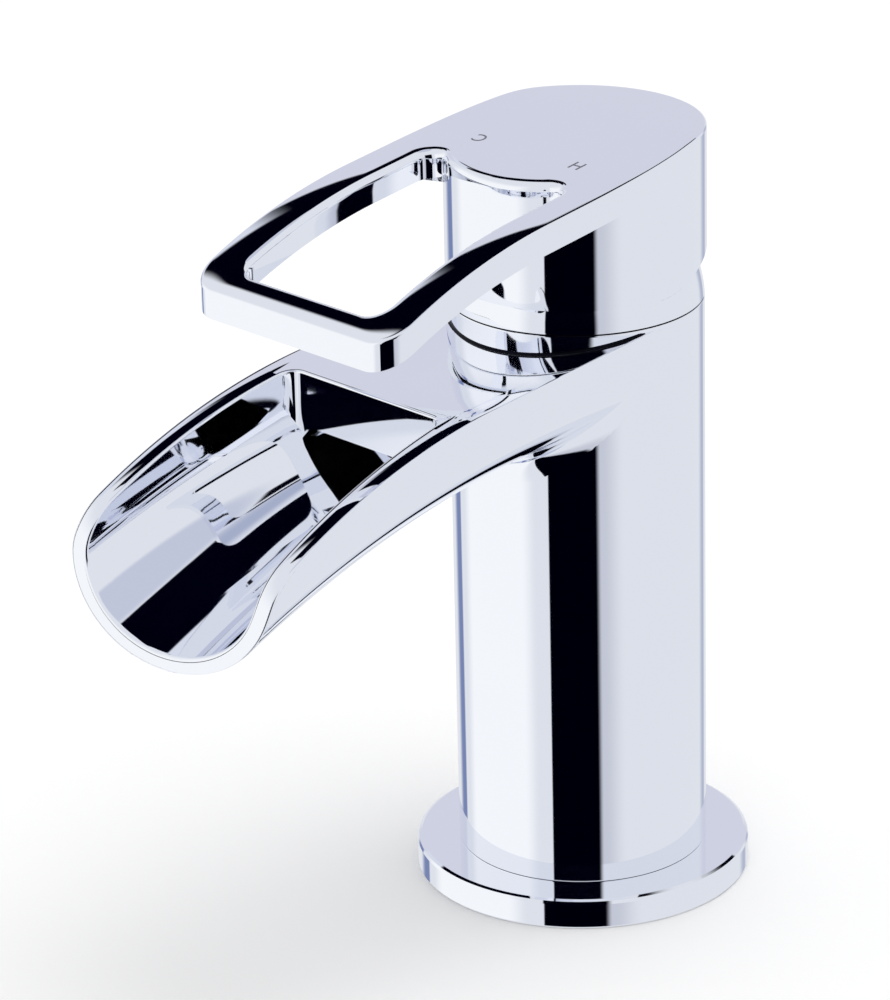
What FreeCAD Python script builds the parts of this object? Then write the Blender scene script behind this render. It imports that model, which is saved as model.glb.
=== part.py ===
import FreeCAD, Part
import math
import os
import Sketcher

# Waterfall basin faucet with a loop lever, in millimetres.
# Frame: +Z up, the spout points along -Y, the origin is the column's axis at the basin surface.

Vector = FreeCAD.Vector
Rotation = FreeCAD.Rotation

# Driving dimensions. Each one is a cell of the sheet, under its own alias.
SIZES = {
    # base
    "flange_radius": 30.8,
    "flange_height": 5.6,
    "flange_edge": 0.8,
    "gasket_width": 3.4,
    "gasket_height": 1.6,
    "flange_oring_section": 0.6,
    # column of the body casting
    "column_radius": 23.0,
    "column_height": 111.4,
    "column_shoulder": 2.0,
    "base_recess_radius": 18.4,
    "base_recess_depth": 8.0,
    "hose_bore_radius": 17.0,
    "seat_block_height": 18.0,
    "pocket_depth": 19.9,
    "inlet_thread_radius": 4.5,
    "inlet_thread_depth": 10.0,
    "stud_thread_radius": 3.4,
    "stud_boss_height": 12.0,
    "stud_boss_level": 12.0,
    "stud_boss_width": 14.0,
    "stud_offset": 9.5,
    # spout of the body casting
    "spout_reach": 102.6,
    "spout_edge_slope": 4.86,
    "spout_edge_run": 44.0,
    "spout_edge_bend": 125.0,
    "spout_edge_step": 0.2,
    "spout_dish": 3.9,
    "spout_dish_run": 50.0,
    "spout_root_depth": 21.9,
    "spout_root_fillet": 7.0,
    "spout_under_crown": 13.6,
    "spout_under_bend": 225.0,
    "spout_flare": 0.0225,
    "spout_belly_depth": 14.5,
    "lip_lean": 15.0,
    "lip_radius": 14.0,
    "trough_start": 51.8,
    "trough_root_wall": 5.2,
    "trough_lip_wall": 3.8,
    "trough_floor_wall": 2.4,
    "trough_corner": 3.0,
    "slot_half_width": 16.5,
    "slot_drop": 15.0,
    "slot_depth": 9.8,
    "slot_sill": 0.4,
    "slot_corner": 3.0,
    "duct_width": 12.0,
    "duct_height": 4.0,
    # cartridge
    "cartridge_radius": 17.5,
    "cartridge_neck_radius": 15.4,
    "cartridge_shoulder": 14.4,
    "cartridge_top": 25.5,
    "base_thickness": 3.4,
    "port_circle": 8.6,
    "port_radius": 2.6,
    "port_seal_radius": 4.1,
    "port_seal_height": 1.3,
    "disc_gasket_thickness": 0.8,
    "disc_gasket_sink": 0.6,
    "disc_gasket_radius": 13.4,
    "fixed_disc_radius": 13.8,
    "fixed_disc_thickness": 2.4,
    "moving_disc_radius": 10.8,
    "moving_disc_thickness": 2.2,
    "mixing_chamber_depth": 1.2,
    "carrier_height": 3.8,
    "carrier_half_width": 8.6,
    "turret_radius": 11.0,
    "turret_flange_radius": 13.2,
    "turret_flange_height": 1.7,
    "turret_height": 15.8,
    "limit_ring_radius": 14.6,
    "limit_ring_height": 2.0,
    "limit_half_turn": 45.0,
    "limit_lug_half": 15.0,
    "pin_radius": 1.25,
    "pivot_drop": 1.4,
    "stem_width": 7.0,
    "stem_depth": 6.0,
    "stem_foot_radius": 1.9,
    "stem_neck_radius": 1.2,
    "stem_height": 27.5,
    # nut and dome cover
    "nut_wall": 2.1,
    "nut_collar_radius": 18.2,
    "nut_collar_height": 4.0,
    "nut_notch_count": 6,
    "nut_notch_width": 4.0,
    "nut_notch_depth": 1.6,
    "nut_oring_section": 0.8,
    "dome_height": 12.6,
    "dome_bore_radius": 19.5,
    "dome_wall": 1.2,
    "dome_seam": 0.25,
    # lever
    "lever_crown": 31.75,
    "lever_rear_run": 14.0,
    "lever_knee_bend": 60.0,
    "lever_slope": 7.4,
    "lever_run": 36.5,
    "lever_tip_bend": 110.0,
    "lever_tip_turn": 28.0,
    "lever_reach": 70.0,
    "lever_thickness": 5.3,
    "lever_half_width": 25.1,
    "lever_corner": 6.0,
    "lever_edge": 0.7,
    "hub_overhang": 0.4,
    "hub_lift_gap": 4.7,
    "hub_relief_angle": 17.0,
    "hub_relief_bend": 20.0,
    "loop_half_width": 17.2,
    "loop_front_bar": 5.3,
    "loop_front_corner": 3.5,
    "loop_hub_corner": 3.0,
    "loop_edge": 1.6,
    "cavity_clearance": 0.4,
    "socket_boss_radius": 11.0,
    "socket_boss_level": 17.0,
    "socket_roof": 1.0,
    "screw_radius": 2.5,
    "screw_length": 8.0,
    "screw_level": 20.5,
    "screw_hex": 2.5,
    "plug_radius": 3.4,
    "plug_cap": 1.2,
    "plug_stem_radius": 2.6,
    "plug_stem_length": 4.0,
    # clearances
    "fit": 0.1,
    "running_fit": 0.08,
    "pin_fit": 0.05,
    "slide_fit": 0.2,
    "disc_gap": 0.05,
}

doc = FreeCAD.newDocument("basin_faucet")
sheet = doc.addObject("Spreadsheet::Sheet", "Sizes")
for row, (alias, value) in enumerate(SIZES.items(), start=1):
    sheet.set("A%d" % row, alias)
    sheet.set("B%d" % row, str(value))
    sheet.setAlias("B%d" % row, alias)
doc.recompute()

PIECES = []


def size(alias):
    """Value of a driving dimension, read from the sheet."""
    return float(getattr(sheet, alias))


def expression(text):
    """Expression whose words are aliases of the sheet."""
    words = []
    for word in text.replace("(", "( ").replace(")", " )").split():
        words.append("Sizes." + word if word in SIZES else word)
    return " ".join(words)


def value_of(text):
    """Number that an expression over the sheet gives now."""
    return float(sheet.evalExpression(expression(text)))


def piece(item, name):
    """List an object as one sub-part, under the name of its file."""
    item.Label = name
    PIECES.append(item)
    return item


# Radii and heights that several pieces share, worked out from the driving dimensions.
SPIGOT = "(column_radius - column_shoulder)"
GASKET_INNER = "((%s + flange_radius - gasket_width) * 0.5)" % SPIGOT
GASKET_OUTER = "((%s + flange_radius + gasket_width) * 0.5)" % SPIGOT
SEAT = "(column_height - pocket_depth)"
PIVOT = "(column_height - pivot_drop)"
BASE_TOP = "(%s + base_thickness)" % SEAT
GASKET_TOP = "(%s - disc_gasket_sink + disc_gasket_thickness)" % BASE_TOP
FIXED_TOP = "(%s + fixed_disc_thickness)" % GASKET_TOP
MOVING_BOTTOM = "(%s + disc_gap)" % FIXED_TOP
MOVING_TOP = "(%s + moving_disc_thickness)" % MOVING_BOTTOM
CARRIER_TOP = "(%s + carrier_height)" % MOVING_TOP
TURRET_BOTTOM = "(%s + slide_fit)" % CARRIER_TOP
TURRET_FLANGE_TOP = "(%s + turret_flange_height)" % TURRET_BOTTOM
TURRET_TOP = "(%s + turret_height)" % TURRET_BOTTOM
SHOULDER = "(%s + cartridge_shoulder)" % SEAT
HOUSING_TOP = "(%s + cartridge_top)" % SEAT
NUT_RADIUS = "(cartridge_radius + nut_wall)"


# ---------------------------------------------------------------- sketch helpers

def origin_plane(body, role):
    """One of a body's own origin planes."""
    for feature in body.Origin.OriginFeatures:
        if feature.Role == role:
            return feature
    raise ValueError("no plane " + role)


def new_sketch(body, name, role, level=None):
    """Sketch on an origin plane of its body, raised to a level when one is given."""
    sketch = body.newObject("Sketcher::SketchObject", name)
    sketch.AttachmentSupport = [(origin_plane(body, role), "")]
    sketch.MapMode = "FlatFace"
    if level is not None:
        sketch.setExpression("AttachmentOffset.Base.z", expression(level))
    return sketch


def bind(sketch, kind, first, second, text):
    """Dimension between two sketch points, bound to the sheet."""
    index = sketch.addConstraint(Sketcher.Constraint(kind, *first, *second, value_of(text)))
    name = "d%d" % index
    sketch.renameConstraint(index, name)
    sketch.setExpression("Constraints." + name, expression(text))


def add_outline(sketch, corners):
    """Closed outline of straight lines; every corner is a pair of expressions."""
    points = [Vector(value_of(across), value_of(along), 0) for across, along in corners]
    first = sketch.GeometryCount
    count = len(points)
    for index, start in enumerate(points):
        sketch.addGeometry(Part.LineSegment(start, points[(index + 1) % count]), False)
    for index in range(count):
        here = first + index
        after = first + (index + 1) % count
        sketch.addConstraint(Sketcher.Constraint("Coincident", here, 2, after, 1))
    for index, (across, along) in enumerate(corners):
        bind(sketch, "DistanceX", (-1, 1), (first + index, 1), across)
        bind(sketch, "DistanceY", (-1, 1), (first + index, 1), along)


def add_circle(sketch, across, along, radius):
    """Circle whose centre and radius are expressions."""
    centre = Vector(value_of(across), value_of(along), 0)
    circle = Part.Circle(centre, Vector(0, 0, 1), value_of(radius))
    index = sketch.addGeometry(circle, False)
    bind(sketch, "DistanceX", (-1, 1), (index, 3), across)
    bind(sketch, "DistanceY", (-1, 1), (index, 3), along)
    rule = sketch.addConstraint(Sketcher.Constraint("Radius", index, value_of(radius)))
    name = "r%d" % rule
    sketch.renameConstraint(rule, name)
    sketch.setExpression("Constraints." + name, expression(radius))


def turned_body(name, corners):
    """Body turned about the column's axis; corners are pairs of radius and height."""
    body = doc.addObject("PartDesign::Body", name)
    profile = new_sketch(body, name + "_profile", "XZ_Plane")
    add_outline(profile, corners)
    turn = body.newObject("PartDesign::Revolution", name + "_turn")
    turn.Profile = profile
    turn.ReferenceAxis = (profile, ["V_Axis"])
    turn.Angle = 360.0
    doc.recompute()
    return piece(body, name)


def padded_body(name, level, height, circles):
    """Body padded up from a level; circles are (across, along, radius) expressions."""
    body = doc.addObject("PartDesign::Body", name)
    outline = new_sketch(body, name + "_outline", "XY_Plane", level)
    for across, along, radius in circles:
        add_circle(outline, across, along, radius)
    pad = body.newObject("PartDesign::Pad", name + "_pad")
    pad.Profile = outline
    pad.setExpression("Length", expression(height))
    doc.recompute()
    return piece(body, name)


def pocket_from(body, name, level, depth, circles=(), corners=None):
    """Pocket cut down from a level of the body's own XY plane."""
    before = body.Shape.Volume
    outline = new_sketch(body, name + "_outline", "XY_Plane", level)
    for across, along, radius in circles:
        add_circle(outline, across, along, radius)
    if corners:
        add_outline(outline, corners)
    pocket = body.newObject("PartDesign::Pocket", name)
    pocket.Profile = outline
    pocket.setExpression("Length", expression(depth))
    doc.recompute()
    if not body.Shape.Volume < before:
        raise RuntimeError(name + " cuts nothing")
    return pocket


def ring_body(name, across, along, level, inner, outer, height):
    """Flat ring padded from a level, with its axis at (across, along)."""
    circles = [(across, along, outer), (across, along, inner)]
    return padded_body(name, level, height, circles)


def oring(name, radius, section, level):
    """Round-section ring about the column's axis."""
    ring = doc.addObject("Part::Torus", name)
    ring.setExpression("Radius1", expression(radius))
    ring.setExpression("Radius2", expression(section))
    ring.setExpression("Placement.Base.z", expression(level))
    return piece(ring, name)


# Ports of the cartridge, on one circle: cold at -X, hot at +X, mixed water at the front.
HALF_RIGHT = str(math.cos(math.radians(30.0)))
PORTS = {
    "cold": ("(0 - port_circle) * " + HALF_RIGHT, "port_circle * 0.5"),
    "hot": ("port_circle * " + HALF_RIGHT, "port_circle * 0.5"),
    "mixed": ("0", "0 - port_circle"),
}


def port_circles(radius):
    """One circle of the given radius at each port."""
    return [(across, along, radius) for across, along in PORTS.values()]


# ---------------------------------------------------------------- base

def make_base():
    """Cover flange on the basin, its gasket and the ring that seals it to the column."""
    turned_body("base_flange", [
        ("%s + fit" % SPIGOT, "0"),
        ("%s - fit" % GASKET_INNER, "0"),
        ("%s - fit" % GASKET_INNER, "gasket_height"),
        ("%s + fit" % GASKET_OUTER, "gasket_height"),
        ("%s + fit" % GASKET_OUTER, "0"),
        ("flange_radius - flange_edge * 0.5", "0"),
        ("flange_radius", "flange_edge * 0.5"),
        ("flange_radius", "flange_height - flange_edge"),
        ("flange_radius - flange_edge * 0.3", "flange_height - flange_edge * 0.3"),
        ("flange_radius - flange_edge", "flange_height"),
        ("%s + fit" % SPIGOT, "flange_height"),
    ])
    ring_body("base_gasket", "0", "0", "0", GASKET_INNER, GASKET_OUTER, "gasket_height")
    oring("flange_seal", "%s + fit - flange_oring_section - 0.01" % SPIGOT,
          "flange_oring_section", "flange_height * 0.5")


# ---------------------------------------------------------------- body casting

class SidePath:
    """Tangent path of lines and arcs in the plane of symmetry, heading towards -Y."""

    def __init__(self, y, z, down=0.0):
        self.here = Vector(0, y, z)
        self.down = math.radians(down)
        self.edges = []

    def direction(self):
        """Unit vector of the path's present heading."""
        return Vector(0, -math.cos(self.down), -math.sin(self.down))

    def line(self, length):
        """Go straight on."""
        end = self.here + self.direction() * length
        self.edges.append(Part.LineSegment(self.here, end).toShape())
        self.here = end
        return self

    def arc(self, radius, turn):
        """Turn down by an angle in degrees, or up where it is negative."""
        side = 1 if turn > 0 else -1
        heading = self.direction()
        centre = self.here + Vector(0, -heading.z, heading.y) * radius * side
        points = []
        for share in (0.5, 1.0):
            angle = math.radians(turn) * share
            arm = self.here - centre
            points.append(centre + Rotation(Vector(1, 0, 0), math.degrees(angle)).multVec(arm))
        self.edges.append(Part.Arc(self.here, points[0], points[1]).toShape())
        self.here = points[1]
        self.down += math.radians(turn)
        return self

    def prism(self, half_width, floor):
        """Solid under the path, down to a level, between both sides."""
        start = self.edges[0].Vertexes[0].Point
        low_end = Vector(0, self.here.y, floor)
        low_start = Vector(0, start.y, floor)
        edges = list(self.edges)
        edges.append(Part.LineSegment(self.here, low_end).toShape())
        edges.append(Part.LineSegment(low_end, low_start).toShape())
        edges.append(Part.LineSegment(low_start, start).toShape())
        face = Part.Face(Part.Wire(edges))
        solid = face.extrude(Vector(2 * half_width, 0, 0))
        solid.translate(Vector(-half_width, 0, 0))
        return solid


def polygon_prism(points, half_width):
    """Prism between both sides over a polygon of (y, z) points."""
    corners = [Vector(-half_width, y, z) for y, z in points]
    wire = Part.makePolygon(corners + corners[:1])
    return Part.Face(wire).extrude(Vector(2 * half_width, 0, 0))


def spout_half_width(distance):
    """Half of the spout's width at a distance in front of the column's axis."""
    inset = 0.15
    return size("column_radius") - inset + size("spout_flare") * distance


def underside_level(distance):
    """Level of the spout's underside in the plane of symmetry."""
    bend = size("spout_under_bend")
    crown = size("column_height") - size("spout_root_depth")
    ahead = distance - size("spout_under_crown")
    return crown - (bend - math.sqrt(bend * bend - ahead * ahead))


def channel_section(distance, half_width, bottom, belly, top):
    """Closed section of a channel: two upright sides on a half ellipse."""
    y = -distance
    right = Vector(half_width, y, bottom + belly)
    left = Vector(-half_width, y, bottom + belly)
    centre = Vector(0, y, bottom + belly)
    oval = Part.Ellipse(right, Vector(0, y, bottom), centre)
    top_left = Vector(-half_width, y, top)
    top_right = Vector(half_width, y, top)
    edges = [
        Part.ArcOfEllipse(oval, 0, math.pi).toShape(),
        Part.LineSegment(left, top_left).toShape(),
        Part.LineSegment(top_left, top_right).toShape(),
        Part.LineSegment(top_right, right).toShape(),
    ]
    return Part.Wire(edges)


def channel_top():
    """Level above every part of the spout, where channel sections are closed."""
    return size("column_height") + size("spout_root_depth")


def outer_channel():
    """Outside of the spout: sides and belly, from inside the column to past the lip."""
    start = 1.0
    end = size("spout_reach") + size("trough_corner")
    belly = size("spout_belly_depth")
    steps = 8
    sections = []
    for step in range(steps + 1):
        distance = start + (end - start) * step / steps
        bottom = underside_level(distance)
        width = spout_half_width(distance)
        sections.append(channel_section(distance, width, bottom, belly, channel_top()))
    return Part.makeLoft(sections, True, False)


def inner_channel(start, lift=0.0):
    """Inside of the trough, from a distance in front of the axis to past the lip."""
    reach = size("spout_reach")
    end = reach + size("trough_corner")
    root_wall = size("trough_root_wall")
    lip_wall = size("trough_lip_wall")
    floor_wall = size("trough_floor_wall")
    belly = size("spout_belly_depth") - floor_wall
    steps = 7
    sections = []
    for step in range(steps + 1):
        distance = start + (end - start) * step / steps
        share = min((distance - size("trough_start")) / (reach - size("trough_start")), 1.0)
        wall = root_wall + (lip_wall - root_wall) * math.sqrt(max(share, 0.0))
        width = spout_half_width(distance) - wall
        bottom = underside_level(distance) + floor_wall + lift
        sections.append(channel_section(distance, width, bottom, belly, channel_top()))
    return Part.makeLoft(sections, True, False)


def spout_side_prism():
    """Side view of the spout: long sloping edge, bend, round nose and leaning lip."""
    half = 2 * size("column_radius")
    floor = size("flange_height")
    top = size("column_height") - size("spout_edge_step")
    reach = size("spout_reach")
    bend = size("spout_edge_bend")
    past = reach + size("lip_radius") - size("spout_edge_run")
    turn = math.degrees(math.asin(min(past / bend, 0.9)))
    slope = size("spout_edge_slope")
    run = size("spout_edge_run") / math.cos(math.radians(slope))
    path = SidePath(0, top, slope).line(run).arc(bend, turn)
    lean = math.tan(math.radians(size("lip_lean")))
    lip_level = underside_level(reach)
    high = channel_top()
    behind = [
        (-reach - lean * (lip_level - floor), floor - 1),
        (-reach + lean * (high - lip_level), high),
        (half, high),
        (half, floor - 1),
    ]
    side = path.prism(half, floor).common(polygon_prism(behind, half))
    nose = [edge for edge in side.Edges if is_nose_edge(edge, reach, lip_level)]
    return side.makeFillet(size("lip_radius"), nose)


def is_nose_edge(edge, reach, lip_level):
    """Tell whether an edge of the side prism is the one above the lip."""
    box = edge.BoundBox
    flat = box.YLength < 0.01 and box.ZLength < 0.01
    return flat and box.YMin < -0.8 * reach and box.ZMin > lip_level


def dish_cutter():
    """Hollow of the spout's top between its edges, deepest beside the column."""
    run = size("spout_dish_run")
    slope = math.tan(math.radians(size("spout_edge_slope")))
    top = size("column_height") - size("spout_edge_step")
    steps = 4
    sections = []
    for step in range(steps + 1):
        distance = 1.0 + (run - 1.0) * step / steps
        depth = size("spout_dish") * (1.0 - distance / run) + 0.02
        edge = top - slope * distance
        width = spout_half_width(distance)
        bend = (width * width + depth * depth) / (2 * depth)
        past = width + size("running_fit")
        level = edge - depth + bend - math.sqrt(bend * bend - past * past)
        y = -distance
        left = Vector(-past, y, level)
        right = Vector(past, y, level)
        high_left = Vector(-past, y, channel_top())
        high_right = Vector(past, y, channel_top())
        sections.append(Part.Wire([
            Part.Arc(left, Vector(0, y, edge - depth), right).toShape(),
            Part.LineSegment(right, high_right).toShape(),
            Part.LineSegment(high_right, high_left).toShape(),
            Part.LineSegment(high_left, left).toShape(),
        ]))
    return Part.makeLoft(sections, True, False)


def cylinder(radius, bottom, top, x=0.0, y=0.0):
    """Upright cylinder between two levels."""
    return Part.makeCylinder(radius, top - bottom, Vector(x, y, bottom))


def trough_cutter():
    """Open trough with rounded rear corners."""
    start = size("trough_start")
    channel = inner_channel(start)
    corners = []
    for edge in channel.Edges:
        box = edge.BoundBox
        upright = box.XLength < 0.01 and box.YLength < 0.01
        if upright and abs(box.YMin + start) < 0.01:
            corners.append(edge)
    return channel.makeFillet(size("trough_corner"), corners)


def slot_level():
    """Level of the water slot's upper edge in the trough's rear wall."""
    return size("column_height") - size("slot_drop")


def slot_cutter():
    """Wide water slot under the rear wall of the trough, on the trough's own floor."""
    start = size("trough_start")
    depth = size("slot_depth")
    half = size("slot_half_width")
    height = size("spout_root_depth")
    overlap = size("trough_corner")
    low = Vector(-half, -start - overlap, slot_level() - height)
    box = Part.makeBox(2 * half, depth + overlap, height, low)
    upper = []
    for edge in box.Edges:
        bounds = edge.BoundBox
        along = bounds.XLength < 0.01 and bounds.ZLength < 0.01
        if along and abs(bounds.ZMin - slot_level()) < 0.01:
            upper.append(edge)
    rounded = box.makeFillet(size("slot_corner"), upper)
    return rounded.common(inner_channel(start - depth - 1.0, size("slot_sill")))


def duct_cutter():
    """Sloping duct from under the mixed-water port to the slot."""
    seat = value_of(SEAT)
    height = size("duct_height")
    rear = Vector(0, -size("port_circle"), seat - height - 1.5)
    front = Vector(0, size("slot_depth") - size("trough_start") - 1.0,
                   slot_level() - height * 0.5)
    run = front - rear
    slope = math.degrees(math.atan2(run.z, -run.y))
    duct = Part.makeBox(size("duct_width"), run.Length, height,
                        Vector(-size("duct_width") * 0.5, -run.Length, -height * 0.5))
    duct.rotate(Vector(0, 0, 0), Vector(1, 0, 0), -slope)
    duct.translate(rear)
    return duct


def stud_boss():
    """Boss for the fixing stud, on the front wall of the hose bore."""
    level = size("stud_boss_level")
    width = size("stud_boss_width")
    inner = size("stud_offset") - width * 0.5
    outer = size("hose_bore_radius") + 1.0
    low = Vector(-width * 0.5, -outer, level)
    block = Part.makeBox(width, outer - inner, size("stud_boss_height"), low)
    top = level + size("stud_boss_height")
    return block.common(cylinder(size("hose_bore_radius") + 1.0, level, top))


def is_root_edge(edge):
    """Tell whether an edge is where the spout's belly meets the column."""
    radius = size("column_radius")
    for point in edge.discretize(7):
        if abs(math.hypot(point.x, point.y) - radius) > 0.02:
            return False
    box = edge.BoundBox
    below = box.ZMax < slot_level() + size("spout_belly_depth")
    return below and box.XLength > 0.3 * radius and box.ZLength > 1.0


def make_body_casting():
    """Column and spout in one casting, with its pocket, bores, trough and ducts."""
    radius = size("column_radius")
    height = size("column_height")
    flange = size("flange_height")
    spigot = radius - size("column_shoulder")
    seat = value_of(SEAT)
    shoulder = value_of(SHOULDER)
    block = seat - size("seat_block_height")
    spout = outer_channel().common(spout_side_prism()).cut(dish_cutter())
    solid = cylinder(radius, flange, height).fuse(spout).removeSplitter()
    roots = [edge for edge in solid.Edges if is_root_edge(edge)]
    solid = solid.makeFillet(size("spout_root_fillet"), roots)
    solid = solid.fuse(cylinder(spigot, 0, flange + 1.0))
    solid = solid.cut(trough_cutter())
    solid = solid.cut(slot_cutter())
    solid = solid.cut(cylinder(size("hose_bore_radius"), -1.0, block))
    solid = solid.cut(cylinder(size("base_recess_radius"), -1.0, size("base_recess_depth")))
    solid = solid.cut(cylinder(size("cartridge_radius") + size("slide_fit"), seat, height + 1))
    thread = value_of(NUT_RADIUS) + size("pin_fit")
    solid = solid.cut(cylinder(thread, shoulder - 1.0, height + 1.0))
    solid = solid.cut(duct_cutter())
    solid = solid.fuse(stud_boss())
    for name, (across, along) in PORTS.items():
        x = value_of(across)
        y = value_of(along)
        depth = size("duct_height") + 2.0 if name == "mixed" else seat - block + 1.0
        solid = solid.cut(cylinder(size("port_radius"), seat - depth, seat + 1.0, x, y))
        if name != "mixed":
            top = block + size("inlet_thread_depth")
            solid = solid.cut(cylinder(size("inlet_thread_radius"), block - 1.0, top, x, y))
    level = size("stud_boss_level")
    stud_top = level + size("stud_boss_height") + 1.0
    solid = solid.cut(cylinder(size("stud_thread_radius"), level - 1.0, stud_top, 0,
                               -size("stud_offset")))
    section = size("flange_oring_section")
    ring = spigot + size("fit") - section - 0.01
    groove_floor = ring - section
    half = section + 0.1
    middle = flange * 0.5
    outer = cylinder(spigot + 1.0, middle - half, middle + half)
    solid = solid.cut(outer.cut(cylinder(groove_floor, middle - half, middle + half)))
    casting = doc.addObject("Part::Feature", "body_casting")
    casting.Shape = solid.removeSplitter()
    casting.Placement = FreeCAD.Placement()
    return piece(casting, "body_casting")


# ---------------------------------------------------------------- cartridge

def make_cartridge():
    """Ceramic-disc mixing cartridge, piece by piece from the seat up."""
    base = padded_body("cartridge_base", SEAT, "base_thickness",
                       [("0", "0", "cartridge_radius")] + port_circles("port_radius"))
    pocket_from(base, "seal_pockets", "%s + port_seal_height" % SEAT, "port_seal_height",
                port_circles("port_seal_radius + fit"))
    pocket_from(base, "gasket_recess", BASE_TOP, "disc_gasket_sink",
                [("0", "0", "disc_gasket_radius + fit")])
    for name, (across, along) in PORTS.items():
        ring_body(name + "_port_seal", across, along, SEAT, "port_radius + fit",
                  "port_seal_radius", "port_seal_height")
    padded_body("disc_gasket", "%s - disc_gasket_sink" % BASE_TOP, "disc_gasket_thickness",
                [("0", "0", "disc_gasket_radius")] + port_circles("port_radius"))
    padded_body("fixed_disc", GASKET_TOP, "fixed_disc_thickness",
                [("0", "0", "fixed_disc_radius")] + port_circles("port_radius"))
    moving = padded_body("moving_disc", MOVING_BOTTOM, "moving_disc_thickness",
                         [("0", "0", "moving_disc_radius")])
    pocket_from(moving, "mixing_chamber", "%s + mixing_chamber_depth" % MOVING_BOTTOM,
                "mixing_chamber_depth",
                [("0", "0 - port_circle * 0.3", "moving_disc_radius * 0.62")])
    carrier = padded_body("disc_carrier", MOVING_TOP, "carrier_height",
                          [("0", "0", "moving_disc_radius")])
    for side, name in ((1, "flat_right"), (-1, "flat_left")):
        edge = "%d * carrier_half_width" % side
        outer = "%d * moving_disc_radius * 1.2" % side
        reach = "moving_disc_radius * 1.2"
        corners = [(edge, "0 - " + reach), (outer, "0 - " + reach), (outer, reach),
                   (edge, reach)]
        pocket_from(carrier, name, CARRIER_TOP, "carrier_height", corners=corners)
    pocket_from(carrier, "foot_socket", CARRIER_TOP, "carrier_height - slide_fit",
                [("0", "0", "stem_foot_radius + fit")])
    cavity = "fixed_disc_radius + slide_fit"
    turned_body("cartridge_housing", [
        (cavity, BASE_TOP),
        ("cartridge_radius", BASE_TOP),
        ("cartridge_radius", SHOULDER),
        ("cartridge_neck_radius", SHOULDER),
        ("cartridge_neck_radius", HOUSING_TOP),
        ("turret_radius + running_fit", HOUSING_TOP),
        ("turret_radius + running_fit", "%s + fit" % TURRET_FLANGE_TOP),
        (cavity, "%s + fit" % TURRET_FLANGE_TOP),
    ])
    make_turret()
    make_stem()
    make_limit_ring()


def sector(radius, half_angle, bottom, top):
    """Upright wedge about the axis, centred on the rear side."""
    half = math.radians(half_angle)
    corners = [Vector(0, 0, bottom)]
    steps = 8
    far = radius / math.cos(half / steps)
    for step in range(steps + 1):
        angle = math.pi / 2 - half + 2 * half * step / steps
        corners.append(Vector(far * math.cos(angle), far * math.sin(angle), bottom))
    face = Part.Face(Part.makePolygon(corners + corners[:1]))
    wedge = face.extrude(Vector(0, 0, top - bottom))
    return wedge.common(cylinder(radius, bottom, top))


def make_turret():
    """Turning head: flange, neck with the stem's slot, cheeks for the carrier, stop lug."""
    bottom = value_of(TURRET_BOTTOM)
    flange_top = value_of(TURRET_FLANGE_TOP)
    top = value_of(TURRET_TOP)
    housing_top = value_of(HOUSING_TOP)
    pivot = value_of(PIVOT)
    radius = size("turret_radius")
    solid = cylinder(size("turret_flange_radius"), bottom, flange_top)
    solid = solid.fuse(cylinder(radius, bottom, top))
    cheek_low = value_of(MOVING_TOP) + size("slide_fit")
    inner = size("carrier_half_width") + size("slide_fit")
    outer = size("moving_disc_radius")
    length = outer
    for x in (inner, -outer):
        corner = Vector(x, -length * 0.5, cheek_low)
        solid = solid.fuse(Part.makeBox(outer - inner, length, bottom - cheek_low + 1, corner))
    lug_radius = radius + (size("limit_ring_radius") - radius) * 0.5
    lug = sector(lug_radius, size("limit_lug_half"), housing_top + size("slide_fit"), top)
    solid = solid.fuse(lug)
    width = size("stem_width") + 2 * size("slide_fit")
    swing = radius * 0.67
    slot = Part.makeBox(width, swing * 1.7, top - bottom + 2,
                        Vector(-width * 0.5, -swing * 0.7, bottom - 1))
    solid = solid.cut(slot)
    pin_length = 2 * radius - 1.0
    pin_hole = Part.makeCylinder(size("pin_radius"), pin_length,
                                 Vector(-pin_length * 0.5, 0, pivot), Vector(1, 0, 0))
    solid = solid.cut(pin_hole)
    turret = doc.addObject("Part::Feature", "stem_turret")
    turret.Shape = solid.removeSplitter()
    turret.Placement = FreeCAD.Placement()
    return piece(turret, "stem_turret")


def foot_level():
    """Level of the centre of the stem's round foot, inside the carrier's socket."""
    return value_of(MOVING_TOP) + size("slide_fit") + size("stem_foot_radius") + 0.2


def make_stem():
    """Stem with its round foot, and the cross pin that it tilts on."""
    pivot = value_of(PIVOT)
    foot = foot_level()
    radius = size("stem_foot_radius")
    shank_low = pivot - 2 * size("pin_radius")
    width = size("stem_width")
    depth = size("stem_depth")
    shank = Part.makeBox(width, depth, pivot + size("stem_height") - shank_low,
                         Vector(-width * 0.5, -depth * 0.5, shank_low))
    solid = shank.fuse(cylinder(size("stem_neck_radius"), foot, shank_low + 1.0))
    solid = solid.fuse(Part.makeSphere(radius, Vector(0, 0, foot)))
    hole = size("pin_radius") + size("pin_fit")
    solid = solid.cut(Part.makeCylinder(hole, 2 * width, Vector(-width, 0, pivot),
                                        Vector(1, 0, 0)))
    stem = doc.addObject("Part::Feature", "lever_stem")
    stem.Shape = solid.removeSplitter()
    stem.Placement = FreeCAD.Placement()
    piece(stem, "lever_stem")
    pin = doc.addObject("Part::Cylinder", "pivot_pin")
    pin.setExpression("Radius", expression("pin_radius"))
    pin.setExpression("Height", expression("2 * turret_radius - 1"))
    pin.Placement = FreeCAD.Placement(Vector(0, 0, 0), Rotation(Vector(0, 1, 0), 90))
    pin.setExpression("Placement.Base.x", expression("0.5 - turret_radius"))
    pin.setExpression("Placement.Base.z", expression(PIVOT))
    piece(pin, "pivot_pin")


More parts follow.
